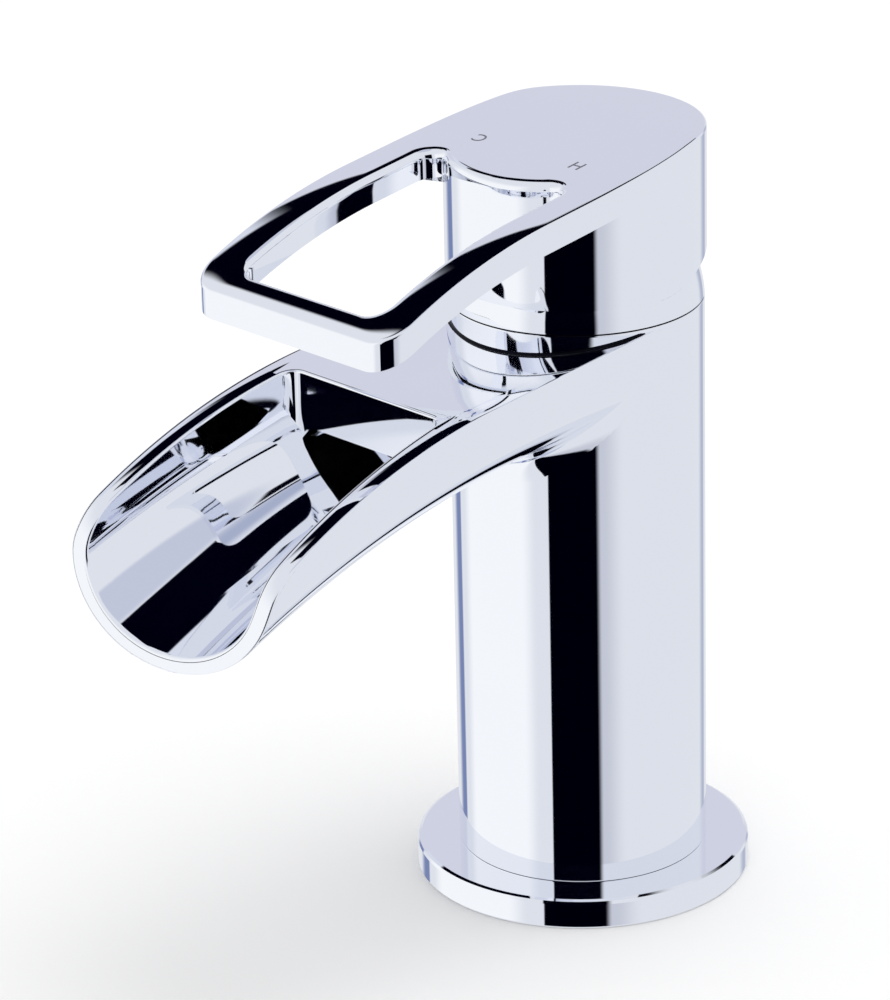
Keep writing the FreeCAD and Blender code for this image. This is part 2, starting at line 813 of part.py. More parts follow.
def make_limit_ring():
    """Toothed ring on the housing; its gap stops the turret's lug on both sides."""
    bottom = value_of(HOUSING_TOP)
    top = bottom + size("limit_ring_height")
    outer = size("limit_ring_radius")
    radius = size("turret_radius")
    ring = cylinder(outer, bottom, top).cut(cylinder(radius + size("slide_fit"), bottom, top))
    lug_radius = radius + (outer - radius) * 0.5
    half = size("limit_half_turn") + size("limit_lug_half") + 0.5
    ring = ring.cut(sector(lug_radius + size("slide_fit"), half, bottom - 1, top + 1))
    teeth = 24
    notch = Part.makeBox(0.8, 0.8, 2 * size("limit_ring_height"),
                         Vector(-0.4, outer - 0.4, bottom - 1))
    for index in range(teeth):
        cut = notch.copy()
        cut.rotate(Vector(0, 0, 0), Vector(0, 0, 1), 360.0 * index / teeth)
        ring = ring.cut(cut)
    limit = doc.addObject("Part::Feature", "limit_ring")
    limit.Shape = ring
    limit.Placement = FreeCAD.Placement()
    return piece(limit, "limit_ring")


# ---------------------------------------------------------------- nut and dome cover

def make_nut_and_dome():
    """Clamping nut, its ring and the domed cover that hides it."""
    groove = "(dome_bore_radius - 2 * nut_oring_section - 0.01)"
    middle = "(column_height + nut_collar_height * 0.5)"
    nut = turned_body("cartridge_nut", [
        ("cartridge_neck_radius + slide_fit", SHOULDER),
        (NUT_RADIUS, SHOULDER),
        (NUT_RADIUS, "column_height"),
        ("nut_collar_radius", "column_height"),
        ("nut_collar_radius", "%s - nut_oring_section - fit" % middle),
        (groove, "%s - nut_oring_section - fit" % middle),
        (groove, "%s + nut_oring_section + fit" % middle),
        ("nut_collar_radius", "%s + nut_oring_section + fit" % middle),
        ("nut_collar_radius", "column_height + nut_collar_height"),
        ("cartridge_neck_radius + slide_fit", "column_height + nut_collar_height"),
    ])
    half = "nut_notch_width * 0.5"
    inner = "cartridge_neck_radius - 1"
    outer = "nut_collar_radius + 1"
    notch = pocket_from(nut, "spanner_notch", "column_height + nut_collar_height",
                        "nut_notch_depth * 0.5",
                        corners=[("0 - " + half, inner), (half, inner), (half, outer),
                                 ("0 - " + half, outer)])
    pattern = nut.newObject("PartDesign::PolarPattern", "spanner_notches")
    pattern.Originals = [notch]
    pattern.Axis = (notch.Profile[0], ["N_Axis"])
    pattern.Angle = 360.0
    pattern.setExpression("Occurrences", expression("nut_notch_count"))
    nut.Tip = pattern
    doc.recompute()
    oring("nut_oring", "%s + nut_oring_section" % groove, "nut_oring_section", middle)
    make_dome()


def dome_radius():
    """Radius of the dome's sphere, which meets the column's edge at its foot."""
    rise = size("pivot_drop")
    return math.hypot(size("column_radius"), rise)


def make_dome():
    """Domed ring: a zone of a sphere about the lever's pivot, with a bore for the nut."""
    pivot = Vector(0, 0, value_of(PIVOT))
    foot = size("column_height")
    top = foot + size("dome_height")
    outer = Part.makeSphere(dome_radius(), pivot)
    band = cylinder(size("column_radius") + 1.0, foot, top)
    solid = outer.common(band)
    hollow = Part.makeSphere(dome_radius() - size("dome_wall"), pivot)
    hollow = hollow.common(cylinder(size("dome_bore_radius"), foot - 1.0, top + 1.0))
    solid = solid.cut(hollow)
    seam = size("dome_seam")
    rim = Part.makeCone(size("column_radius") - seam, size("column_radius") + seam,
                        2 * seam, Vector(0, 0, foot))
    ring = cylinder(size("column_radius") + 1.0, foot, foot + 2 * seam)
    solid = solid.cut(ring.cut(rim))
    dome = doc.addObject("Part::Feature", "dome_cover")
    dome.Shape = solid.removeSplitter()
    dome.Placement = FreeCAD.Placement()
    return piece(dome, "dome_cover")


# ---------------------------------------------------------------- lever

def lever_top_path():
    """Side view of the lever's top, from behind the hub to past the tip."""
    crown = value_of(PIVOT) + size("lever_crown") + 1.4
    start = size("column_radius") + 3.0
    path = SidePath(start, crown)
    path.line(size("lever_rear_run"))
    path.arc(size("lever_knee_bend"), size("lever_slope"))
    path.line(size("lever_run"))
    path.arc(size("lever_tip_bend"), size("lever_tip_turn"))
    return path


def lever_outline():
    """Plan outline of the hub and loop together, as one closed wire."""
    hub = size("column_radius") + size("hub_overhang")
    half = size("lever_half_width")
    reach = size("lever_reach")
    corner = size("lever_corner")
    leave = math.radians(15.0)
    right_start = Vector(hub * math.cos(leave), hub * math.sin(leave), 0)
    left_start = Vector(-right_start.x, right_start.y, 0)
    rear = Vector(0, hub, 0)
    shoulder = -hub
    edges = [Part.Arc(right_start, rear, left_start).toShape()]
    for side in (-1, 1):
        flank = Part.BezierCurve()
        lead = 0.35 * hub
        flank.setPoles([
            Vector(side * right_start.x, right_start.y, 0),
            Vector(side * (right_start.x + lead * math.sin(leave)),
                   right_start.y - lead * math.cos(leave), 0),
            Vector(side * half, shoulder + 1.2 * lead, 0),
            Vector(side * half, shoulder, 0),
        ])
        edges.append(flank.toShape())
        tip_side = Vector(side * half, -reach + corner, 0)
        edges.append(Part.LineSegment(Vector(side * half, shoulder, 0), tip_side).toShape())
        bulge = corner * (1 - math.sqrt(0.5))
        middle = Vector(side * (half - bulge), -reach + bulge, 0)
        tip_front = Vector(side * (half - corner), -reach, 0)
        edges.append(Part.Arc(tip_side, middle, tip_front).toShape())
    left_tip = Vector(corner - half, -reach, 0)
    right_tip = Vector(half - corner, -reach, 0)
    edges.append(Part.LineSegment(left_tip, right_tip).toShape())
    return Part.Wire(Part.__sortEdges__(edges))


def loop_opening():
    """Upright prism of the finger opening, with rounded corners all round."""
    half = size("loop_half_width")
    front = -size("lever_reach") + size("loop_front_bar")
    low = value_of(PIVOT)
    high = low + 2 * size("lever_crown")
    box = Part.makeBox(2 * half, -front, high - low, Vector(-half, front, low))
    hub = size("column_radius") + size("hub_overhang")
    prism = box.cut(cylinder(hub, low - 1, high + 1))
    prism = prism.Solids[0]
    front_edges = []
    hub_edges = []
    for edge in prism.Edges:
        bounds = edge.BoundBox
        upright = bounds.XLength < 0.01 and bounds.YLength < 0.01
        if upright and abs(bounds.YMin - front) < 0.01:
            front_edges.append(edge)
        elif upright and abs(abs(bounds.XMin) - half) < 0.01:
            hub_edges.append(edge)
    prism = prism.makeFillet(size("loop_hub_corner"), hub_edges)
    fronts = []
    for edge in prism.Edges:
        bounds = edge.BoundBox
        upright = bounds.XLength < 0.01 and bounds.YLength < 0.01
        if upright and abs(bounds.YMin - front) < 0.01:
            fronts.append(edge)
    return prism.makeFillet(size("loop_front_corner"), fronts)


def is_opening_rim(edge, top_shell):
    """Tell whether an edge runs round the opening in the lever's top surface."""
    half = size("loop_half_width")
    front = -size("lever_reach") + size("loop_front_bar")
    box = edge.BoundBox
    if box.XMax > half + 0.02 or box.XMin < -half - 0.02:
        return False
    if box.YMin < front - 0.02 or box.YMax > -0.3 * half:
        return False
    for point in edge.discretize(5):
        if top_shell.distToShape(Part.Vertex(point))[0] > 0.02:
            return False
    return True


def hub_underside():
    """Prism below the hub: level in front, rising behind to let the lever tilt."""
    level = size("column_height") + size("hub_lift_gap")
    half = 2 * size("column_radius")
    angle = size("hub_relief_angle")
    bend = size("hub_relief_bend")
    rise = half * math.tan(math.radians(angle))
    path = SidePath(half, level + rise, angle)
    along = half / math.cos(math.radians(angle)) - bend * math.tan(math.radians(angle / 2))
    path.line(along)
    path.arc(bend, -angle)
    path.line(half)
    return path.prism(half, size("column_height") - half)


def make_lever():
    """Lever casting: hub with its ball cavity, stem socket and screw hole, and the loop."""
    pivot = value_of(PIVOT)
    hub = size("column_radius") + size("hub_overhang")
    wide = 2 * size("column_radius")
    thickness = size("lever_thickness")
    high = pivot + 2 * size("lever_crown")
    under_top = lever_top_path().prism(wide, pivot - wide)
    below_band = under_top.copy()
    below_band.translate(Vector(0, 0, -thickness))
    plan = Part.Face(lever_outline())
    plan.translate(Vector(0, 0, pivot))
    slab = plan.extrude(Vector(0, 0, high - pivot))
    opening = loop_opening()
    loop = slab.common(under_top).cut(below_band).cut(opening)
    column = cylinder(hub, pivot, high).common(under_top)
    solid = column.fuse(loop).removeSplitter()
    shell = under_top.Shells[0]
    rim = [edge for edge in solid.Edges if is_opening_rim(edge, shell)]
    solid = solid.makeFillet(size("loop_edge"), rim)
    solid = solid.cut(hub_underside())
    cavity = Part.makeSphere(dome_radius() + size("cavity_clearance"), Vector(0, 0, pivot))
    boss_low = pivot + size("socket_boss_level")
    boss = cylinder(size("socket_boss_radius"), boss_low, pivot + dome_radius() + 1.0)
    solid = solid.cut(cavity.cut(boss))
    solid = solid.cut(stem_socket(boss_low))
    solid = solid.cut(screw_holes(hub))
    lever = doc.addObject("Part::Feature", "lever_handle")
    lever.Shape = solid.removeSplitter()
    lever.Placement = FreeCAD.Placement()
    return piece(lever, "lever_handle")


def stem_socket(boss_low):
    """Square socket that takes the stem's top."""
    width = size("stem_width") + 2 * size("fit")
    depth = size("stem_depth") + 2 * size("fit")
    top = value_of(PIVOT) + size("stem_height") + size("socket_roof")
    return Part.makeBox(width, depth, top - boss_low + 1.0,
                        Vector(-width * 0.5, -depth * 0.5, boss_low - 1.0))


def screw_holes(hub):
    """Threaded hole for the grub screw and the wider hole for its plug, from behind."""
    level = value_of(PIVOT) + size("screw_level")
    back = Vector(0, 1, 0)
    thread = Part.makeCylinder(size("screw_radius") + size("pin_fit"), hub,
                               Vector(0, 0, level), back)
    plug_start = hub - size("plug_cap") - size("plug_stem_length") - 0.5
    access = Part.makeCylinder(size("plug_stem_radius") + size("pin_fit"), hub,
                               Vector(0, plug_start, level), back)
    cap = Part.makeCylinder(size("plug_radius") + size("fit"), hub,
                            Vector(0, hub - size("plug_cap") - 0.3, level), back)
    return thread.fuse(access).fuse(cap)


def make_fasteners():
    """Grub screw that grips the stem, and the plug over its hole."""
    level = value_of(PIVOT) + size("screw_level")
    hub = size("column_radius") + size("hub_overhang")
    back = Vector(0, 1, 0)
    start = size("stem_depth") * 0.5
    screw = Part.makeCylinder(size("screw_radius"), size("screw_length"),
                              Vector(0, start, level), back)
    key = Part.makePolygon([
        Vector(size("screw_hex") * 0.577 * math.cos(math.radians(60 * side)),
               start + size("screw_length") + 1.0,
               level + size("screw_hex") * 0.577 * math.sin(math.radians(60 * side)))
        for side in range(7)
    ])
    socket = Part.Face(key).extrude(Vector(0, -1.0 - size("screw_hex"), 0))
    grub = doc.addObject("Part::Feature", "handle_grub_screw")
    grub.Shape = screw.cut(socket)
    grub.Placement = FreeCAD.Placement()
    piece(grub, "handle_grub_screw")
    cap_base = hub - size("plug_cap") - 0.3
    cap = Part.makeCylinder(size("plug_radius"), size("plug_cap") + 1.0,
                            Vector(0, cap_base, level), back)
    reach = 2 * size("plug_radius")
    cap = cap.common(cylinder(hub, level - reach, level + reach))
    shank = Part.makeCylinder(size("plug_stem_radius"), size("plug_stem_length"),
                              Vector(0, cap_base - size("plug_stem_length"), level), back)
    plug = doc.addObject("Part::Feature", "screw_plug")
    plug.Shape = cap.fuse(shank).removeSplitter()
    plug.Placement = FreeCAD.Placement()
    piece(plug, "screw_plug")


# ---------------------------------------------------------------- document

def check_document():
    """Stop if any object failed, or any sub-part has no valid solid."""
    doc.recompute()
    for item in doc.Objects:
        if "Invalid" in item.State or "Error" in item.State:
            raise RuntimeError("%s failed: %s" % (item.Name, item.State))
    for item in PIECES:
        shape = item.Shape
        if shape.isNull() or not shape.isValid() or not shape.Solids:
            raise RuntimeError(item.Label + " has no valid solid")


def export_pieces():
    """Write one file for each sub-part."""
    os.makedirs("parts", exist_ok=True)
    for item in PIECES:
        item.Shape.exportStep("parts/%s.step" % item.Label)
        print("%-20s %9.1f mm3  %d solid(s)" % (item.Label, item.Shape.Volume,
                                                len(item.Shape.Solids)))


make_base()
make_body_casting()
make_cartridge()
make_nut_and_dome()
make_lever()
make_fasteners()
check_document()
export_pieces()
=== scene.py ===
import logging
import math
from dataclasses import dataclass
from enum import Enum
from typing import Callable, Dict, List, Optional, Sequence, Tuple

import bmesh
import bpy
from mathutils import Euler, Matrix, Vector


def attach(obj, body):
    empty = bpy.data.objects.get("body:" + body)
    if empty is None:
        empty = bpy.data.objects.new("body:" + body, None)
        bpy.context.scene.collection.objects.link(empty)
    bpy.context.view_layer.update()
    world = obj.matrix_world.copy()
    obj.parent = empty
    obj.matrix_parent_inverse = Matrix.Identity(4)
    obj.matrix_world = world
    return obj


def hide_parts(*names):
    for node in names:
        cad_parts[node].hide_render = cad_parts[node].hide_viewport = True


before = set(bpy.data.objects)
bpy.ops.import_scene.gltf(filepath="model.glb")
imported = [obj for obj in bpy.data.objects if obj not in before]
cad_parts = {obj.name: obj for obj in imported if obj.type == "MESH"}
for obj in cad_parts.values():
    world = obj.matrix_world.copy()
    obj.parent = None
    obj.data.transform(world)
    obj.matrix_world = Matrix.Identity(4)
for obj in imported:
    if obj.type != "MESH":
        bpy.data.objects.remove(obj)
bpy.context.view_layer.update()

MM = 0.001
LOG = logging.getLogger("faucet")

Colour = Tuple[float, float, float]
Row = List[Vector]

# Stations of the lever's outline and opening: where the rails end, and where the
# flanks reach the hub. The lists in LoopLever.outline and opening add up to these.
RAIL_END = 58
HUB_START = 78
CROWN_FADE = 26


class Body(Enum):
    """Bodies of the faucet that pieces ride on."""

    SHELL = "shell"
    TURRET = "turret"
    LEVER = "lever"
    DISC = "disc"


class Grain(Enum):
    """What breaks up the surface of a finish."""

    POLISHED = "polished"
    TURNED = "turned"
    MOULDED = "moulded"
    LAPPED = "lapped"


class Wire:
    """A node socket that takes part in Python arithmetic."""

    def __init__(self, bench: "Bench", socket: bpy.types.NodeSocket) -> None:
        """Wrap one output socket of a bench's tree."""
        self.bench = bench
        self.socket = socket

    def _maths(self, operation: str, *terms: object) -> "Wire":
        """Add one Math node over wires and plain numbers."""
        inputs = {place: term for place, term in enumerate(terms)}
        node = self.bench.add("ShaderNodeMath", {"operation": operation}, inputs)
        return Wire(self.bench, node.outputs[0])

    def __add__(self, other: object) -> "Wire":
        """Sum."""
        return self._maths("ADD", self, other)

    def __radd__(self, other: object) -> "Wire":
        """Sum with a number on the left."""
        return self._maths("ADD", other, self)

    def __sub__(self, other: object) -> "Wire":
        """Difference."""
        return self._maths("SUBTRACT", self, other)

    def __rsub__(self, other: object) -> "Wire":
        """Difference with a number on the left."""
        return self._maths("SUBTRACT", other, self)

    def __mul__(self, other: object) -> "Wire":
        """Product."""
        return self._maths("MULTIPLY", self, other)

    def __rmul__(self, other: object) -> "Wire":
        """Product with a number on the left."""
        return self._maths("MULTIPLY", other, self)

    def maximum(self, other: object) -> "Wire":
        """Larger of two values."""
        return self._maths("MAXIMUM", self, other)


class Bench:
    """Builds one material's node tree."""

    def __init__(self, name: str, tree: Optional[bpy.types.NodeTree] = None) -> None:
        """Start an empty material, or take over a tree.

        Args:
            name: Name of the material.
            tree: Node tree of something else, such as the world.
        """
        self.material = None
        if tree is None:
            self.material = bpy.data.materials.new(name)
            self.material.use_nodes = True
            tree = self.material.node_tree
        self.tree = tree
        self.tree.nodes.clear()

    def maths(self, operation: str, *terms: object) -> Wire:
        """Add a Math node of another kind than the operators give."""
        node = self.add("ShaderNodeMath", {"operation": operation},
                        {place: term for place, term in enumerate(terms)})
        return self.wire(node)

    def add(self, kind: str, settings: Dict[str, object],
            inputs: Dict[object, object]) -> bpy.types.Node:
        """Add one node.

        Args:
            kind: Type name of the node.
            settings: Properties that are set before any socket.
            inputs: Values or wires by the socket's name or place.

        Returns:
            The new node.
        """
        node = self.tree.nodes.new(kind)
        for key, value in settings.items():
            setattr(node, key, value)
        for key, value in inputs.items():
            if isinstance(value, Wire):
                self.tree.links.new(value.socket, node.inputs[key])
            else:
                node.inputs[key].default_value = value
        return node

    def wire(self, node: bpy.types.Node, output: object = 0) -> Wire:
        """Wrap one output of a node."""
        return Wire(self, node.outputs[output])

    def coordinates(self) -> Wire:
        """Object coordinates of the piece."""
        return self.wire(self.add("ShaderNodeTexCoord", {}, {}), "Object")

    def noise(self, scale: float, detail: float, stretch: Colour = (1.0, 1.0, 1.0)) -> Wire:
        """Noise over the piece's own coordinates.

        Args:
            scale: Cells per metre.
            detail: Octaves.
            stretch: Factors along the three axes.

        Returns:
            The noise value, about 0 to 1.
        """
        placed = self.add("ShaderNodeMapping", {}, {"Vector": self.coordinates(),
                                                    "Scale": stretch})
        node = self.add("ShaderNodeTexNoise", {}, {"Vector": self.wire(placed),
                                                   "Scale": scale, "Detail": detail})
        return self.wire(node, "Fac")

    def surface(self, shader: bpy.types.Node) -> bpy.types.Material:
        """Join a shader to the material's output and return the material."""
        self.add("ShaderNodeOutputMaterial", {}, {"Surface": self.wire(shader)})
        return self.material


@dataclass(frozen=True)
class Finish:
    """One finish of the faucet, with its grain."""

    name: str
    colour: Colour
    worn: Colour
    metallic: float
    roughness: float
    spread: float
    grain: Grain
    scale: float
    relief: float

    def make(self) -> bpy.types.Material:
        """Build the material.

        Returns:
            The material, with colour, roughness and fine relief from its nodes.
        """
        bench = Bench(self.name)
        stretch = {
            Grain.POLISHED: (1.0, 1.0, 1.0),
            Grain.TURNED: (1.0, 1.0, 14.0),
            Grain.MOULDED: (1.0, 1.0, 1.0),
            Grain.LAPPED: (3.0, 1.0, 1.0),
        }[self.grain]
        fine = bench.noise(self.scale, 5.0, stretch)
        broad = bench.noise(self.scale * 0.06, 3.0)
        tone = bench.add("ShaderNodeMix", {"data_type": "RGBA"}, {
            0: broad, 6: (*self.colour, 1.0), 7: (*self.worn, 1.0)})
        sheen = self.roughness - 0.5 * self.spread + broad * self.spread
        bump = bench.add("ShaderNodeBump", {}, {
            "Strength": self.relief, "Distance": 0.00002, "Height": fine})
        shader = bench.add("ShaderNodeBsdfPrincipled", {}, {
            "Base Color": bench.wire(tone, 2),
            "Metallic": self.metallic,
            "Roughness": sheen.maximum(0.0),
            "Normal": bench.wire(bump),
        })
        return bench.surface(shader)


CHROME = Finish("polished_chrome", (0.91, 0.925, 0.97), (0.895, 0.91, 0.96), 1.0, 0.03,
                0.02, Grain.POLISHED, 900.0, 0.02)
STEEL = Finish("machined_steel", (0.58, 0.59, 0.6), (0.5, 0.5, 0.51), 1.0, 0.28,
               0.12, Grain.TURNED, 1500.0, 0.35)
BRASS = Finish("turned_brass", (0.74, 0.58, 0.3), (0.62, 0.46, 0.22), 1.0, 0.25,
               0.14, Grain.TURNED, 1500.0, 0.4)
RUBBER = Finish("black_rubber", (0.03, 0.03, 0.032), (0.05, 0.05, 0.05), 0.0, 0.72,
                0.16, Grain.MOULDED, 2500.0, 0.5)
CERAMIC = Finish("lapped_ceramic", (0.88, 0.88, 0.86), (0.82, 0.82, 0.8), 0.0, 0.16,
                 0.08, Grain.LAPPED, 2500.0, 0.12)
PLASTIC = Finish("white_plastic", (0.78, 0.78, 0.76), (0.7, 0.7, 0.68), 0.0, 0.45,
                 0.14, Grain.MOULDED, 1800.0, 0.4)
RED = Finish("red_plastic", (0.55, 0.04, 0.035), (0.4, 0.03, 0.03), 0.0, 0.42,
             0.12, Grain.MOULDED, 1800.0, 0.4)
SILVER = Finish("silver_plastic", (0.6, 0.61, 0.65), (0.52, 0.53, 0.57), 0.6, 0.24,
                0.1, Grain.MOULDED, 1800.0, 0.2)
# Painted shade: a near-black finish for the shade in the seam under the dome and along the
# collar's fillet.
PAINTED_SEAM_SHADE = Finish("painted_seam_shade", (0.004, 0.004, 0.008), (0.008, 0.008, 0.014), 1.0, 0.3,
              0.1, Grain.MOULDED, 2500.0, 0.1)
INK = Finish("etched_grey", (0.16, 0.16, 0.2), (0.22, 0.22, 0.26), 0.3, 0.55,
             0.2, Grain.MOULDED, 4000.0, 0.5)

NODE_FINISH: Dict[str, Finish] = {
    "base_flange": CHROME,
    "body_casting": CHROME,
    "dome_cover": CHROME,
    "lever_handle": CHROME,
    "base_gasket": RUBBER,
    "flange_seal": RUBBER,
    "cartridge_nut": BRASS,
    "nut_oring": RUBBER,
    "cartridge_base": PLASTIC,
    "hot_port_seal": RUBBER,
    "cold_port_seal": RUBBER,
    "mixed_port_seal": RUBBER,
    "disc_gasket": RUBBER,
    "fixed_disc": CERAMIC,
    "moving_disc": CERAMIC,
    "disc_carrier": PLASTIC,
    "cartridge_housing": PLASTIC,
    "stem_turret": PLASTIC,
    "lever_stem": STEEL,
    "pivot_pin": STEEL,
    "limit_ring": RED,
    "handle_grub_screw": STEEL,
    "screw_plug": SILVER,
}


@dataclass
class Dresser:
    """Gives every CAD node its finish."""

    def __post_init__(self) -> None:
        """Make each finish once."""
        self.materials: Dict[str, bpy.types.Material] = {}

    def material(self, finish: Finish) -> bpy.types.Material:
        """Material of a finish, made the first time it is asked for."""
        if finish.name not in self.materials:
            self.materials[finish.name] = finish.make()
        return self.materials[finish.name]

    def dress_nodes(self) -> None:
        """Assign a finish to every CAD node."""
        for name, finish in NODE_FINISH.items():
            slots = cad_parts[name].material_slots
            for slot in slots:
                slot.material = self.material(finish)
            LOG.info("%s wears %s", name, finish.name)


class Skin:
    """A mesh that grows row by row, in millimetres."""

    def __init__(self) -> None:
        """Start empty."""
        self.mesh = bmesh.new()
        self.shade = 0

    def sweep(self, rows: Sequence[Row], side: int = 1) -> None:
        """Extrude a row of edges through all the following rows.

        Args:
            rows: Rows of equally many points.
            side: 1, or -1 for the mirror image across x = 0.
        """
        rows = [[Vector((side * point[0], point[1], point[2])) for point in row]
                for row in rows]
        front = [self.mesh.verts.new(point) for point in rows[0]]
        edges = [self.mesh.edges.new(pair) for pair in zip(front, front[1:])]
        for row in rows[1:]:
            grown = bmesh.ops.extrude_edge_only(self.mesh, edges=edges)["geom"]
            for item in grown:
                if isinstance(item, bmesh.types.BMFace):
                    item.material_index = self.shade
            fresh = {item for item in grown if isinstance(item, bmesh.types.BMVert)}
            following = []
            for old, point in zip(front, row):
                new = next(edge.other_vert(old) for edge in old.link_edges
                           if edge.other_vert(old) in fresh)
                new.co = point
                following.append(new)
            edges = [item for item in grown if isinstance(item, bmesh.types.BMEdge)
                     and item.verts[0] in fresh and item.verts[1] in fresh]
            front = following

    def spin(self, profile: Sequence[Tuple[float, float]], steps: int = 180,
             centre: Tuple[float, float] = (0.0, 0.0)) -> None:
        """Turn an open profile of (radius, height) pairs about an upright axis.

        Args:
            profile: Pairs of radius and height.
            steps: Steps of a full turn.
            centre: Where the axis stands.
        """
        axis = Vector((centre[0], centre[1], 0.0))
        verts = [self.mesh.verts.new(axis + Vector((radius, 0.0, height)))
                 for radius, height in profile]
        edges = [self.mesh.edges.new(pair) for pair in zip(verts, verts[1:])]
        bmesh.ops.spin(self.mesh, geom=verts + edges, cent=axis, axis=(0.0, 0.0, 1.0),
                       angle=math.tau, steps=steps, use_merge=True, use_duplicate=False)

    def drop(self, gone: Callable[[bmesh.types.BMFace], bool]) -> None:
        """Delete the faces that a test picks."""
        bmesh.ops.delete(self.mesh, geom=[face for face in self.mesh.faces if gone(face)],
                         context="FACES")

    def take(self, node: str, keep: Callable[[bmesh.types.BMFace], bool]) -> None:
        """Copy some faces of a CAD node, merged.

        Args:
            node: Name of the node.
            keep: Says which faces stay, with the mesh in millimetres.
        """
        other = bmesh.new()
        other.from_mesh(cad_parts[node].data)
        bmesh.ops.scale(other, vec=Vector((1.0, 1.0, 1.0)) / MM, verts=other.verts)
        bmesh.ops.remove_doubles(other, verts=other.verts, dist=0.001)
        dropped = [face for face in other.faces if not keep(face)]
        bmesh.ops.delete(other, geom=dropped, context="FACES")
        data = bpy.data.meshes.new(node + "_kept")
        other.to_mesh(data)
        other.free()
        self.mesh.from_mesh(data)
        bpy.data.meshes.remove(data)

    def finish(self, name: str, body: Body, slot: str, material: bpy.types.Material,
               crease: float = 32.0) -> bpy.types.Object:
        """Close the mesh up and make it a piece.

        Args:
            name: Name of the piece.
            body: Body that it rides on.
            slot: The record's material slot; not used.
            material: What it wears.
            crease: Angle in degrees past which an edge is sharp.

        Returns:
            The finished object.
        """
        bmesh.ops.remove_doubles(self.mesh, verts=self.mesh.verts, dist=0.004)
        bmesh.ops.dissolve_degenerate(self.mesh, edges=self.mesh.edges, dist=0.0005)
        bmesh.ops.scale(self.mesh, vec=Vector((MM, MM, MM)), verts=self.mesh.verts)
        for face in self.mesh.faces:
            face.smooth = True
        for edge in self.mesh.edges:
            edge.smooth = edge.calc_face_angle(0.0) < math.radians(crease)
        made = to_object(self.mesh, name)
        made.data.materials.append(material)
        even = made.modifiers.new("even_shading", "WEIGHTED_NORMAL")
        even.keep_sharp = True
        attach(made, body.value)
        LOG.info("%s has %d faces", name, len(made.data.polygons))
        return made


def blend_corner(start: Vector, corner: Vector, end: Vector, steps: int) -> Row:
    """Points that round a corner, from start to end.

    Args:
        start: Where the round begins.
        corner: The sharp corner.
        end: Where the round ends.
        steps: Number of steps.

    Returns:
        The points, both ends included.
    """
    pull = math.sqrt(0.5)
    points = []
    for step in range(steps + 1):
        share = step / steps
        first = (1.0 - share) ** 2
        middle = 2.0 * share * (1.0 - share) * pull
        last = share ** 2
        points.append((start * first + corner * middle + end * last)
                      / (first + middle + last))
    return points


def offset_chain(chain: Sequence[Vector], distance: float) -> List[Vector]:
    """Move an open plane chain sideways.

    Args:
        chain: Points in a plane, two or three coordinates with the third unused.
        distance: Distance to the left of the chain's heading.

    Returns:
        The moved points.
    """
    moved = []
    last = len(chain) - 1
    for place, point in enumerate(chain):
        before = chain[max(place - 1, 0)]
        after = chain[min(place + 1, last)]
        heading = (after - before).normalized()
        moved.append(point + Vector((-heading[1], heading[0], 0.0)) * distance)
    return moved


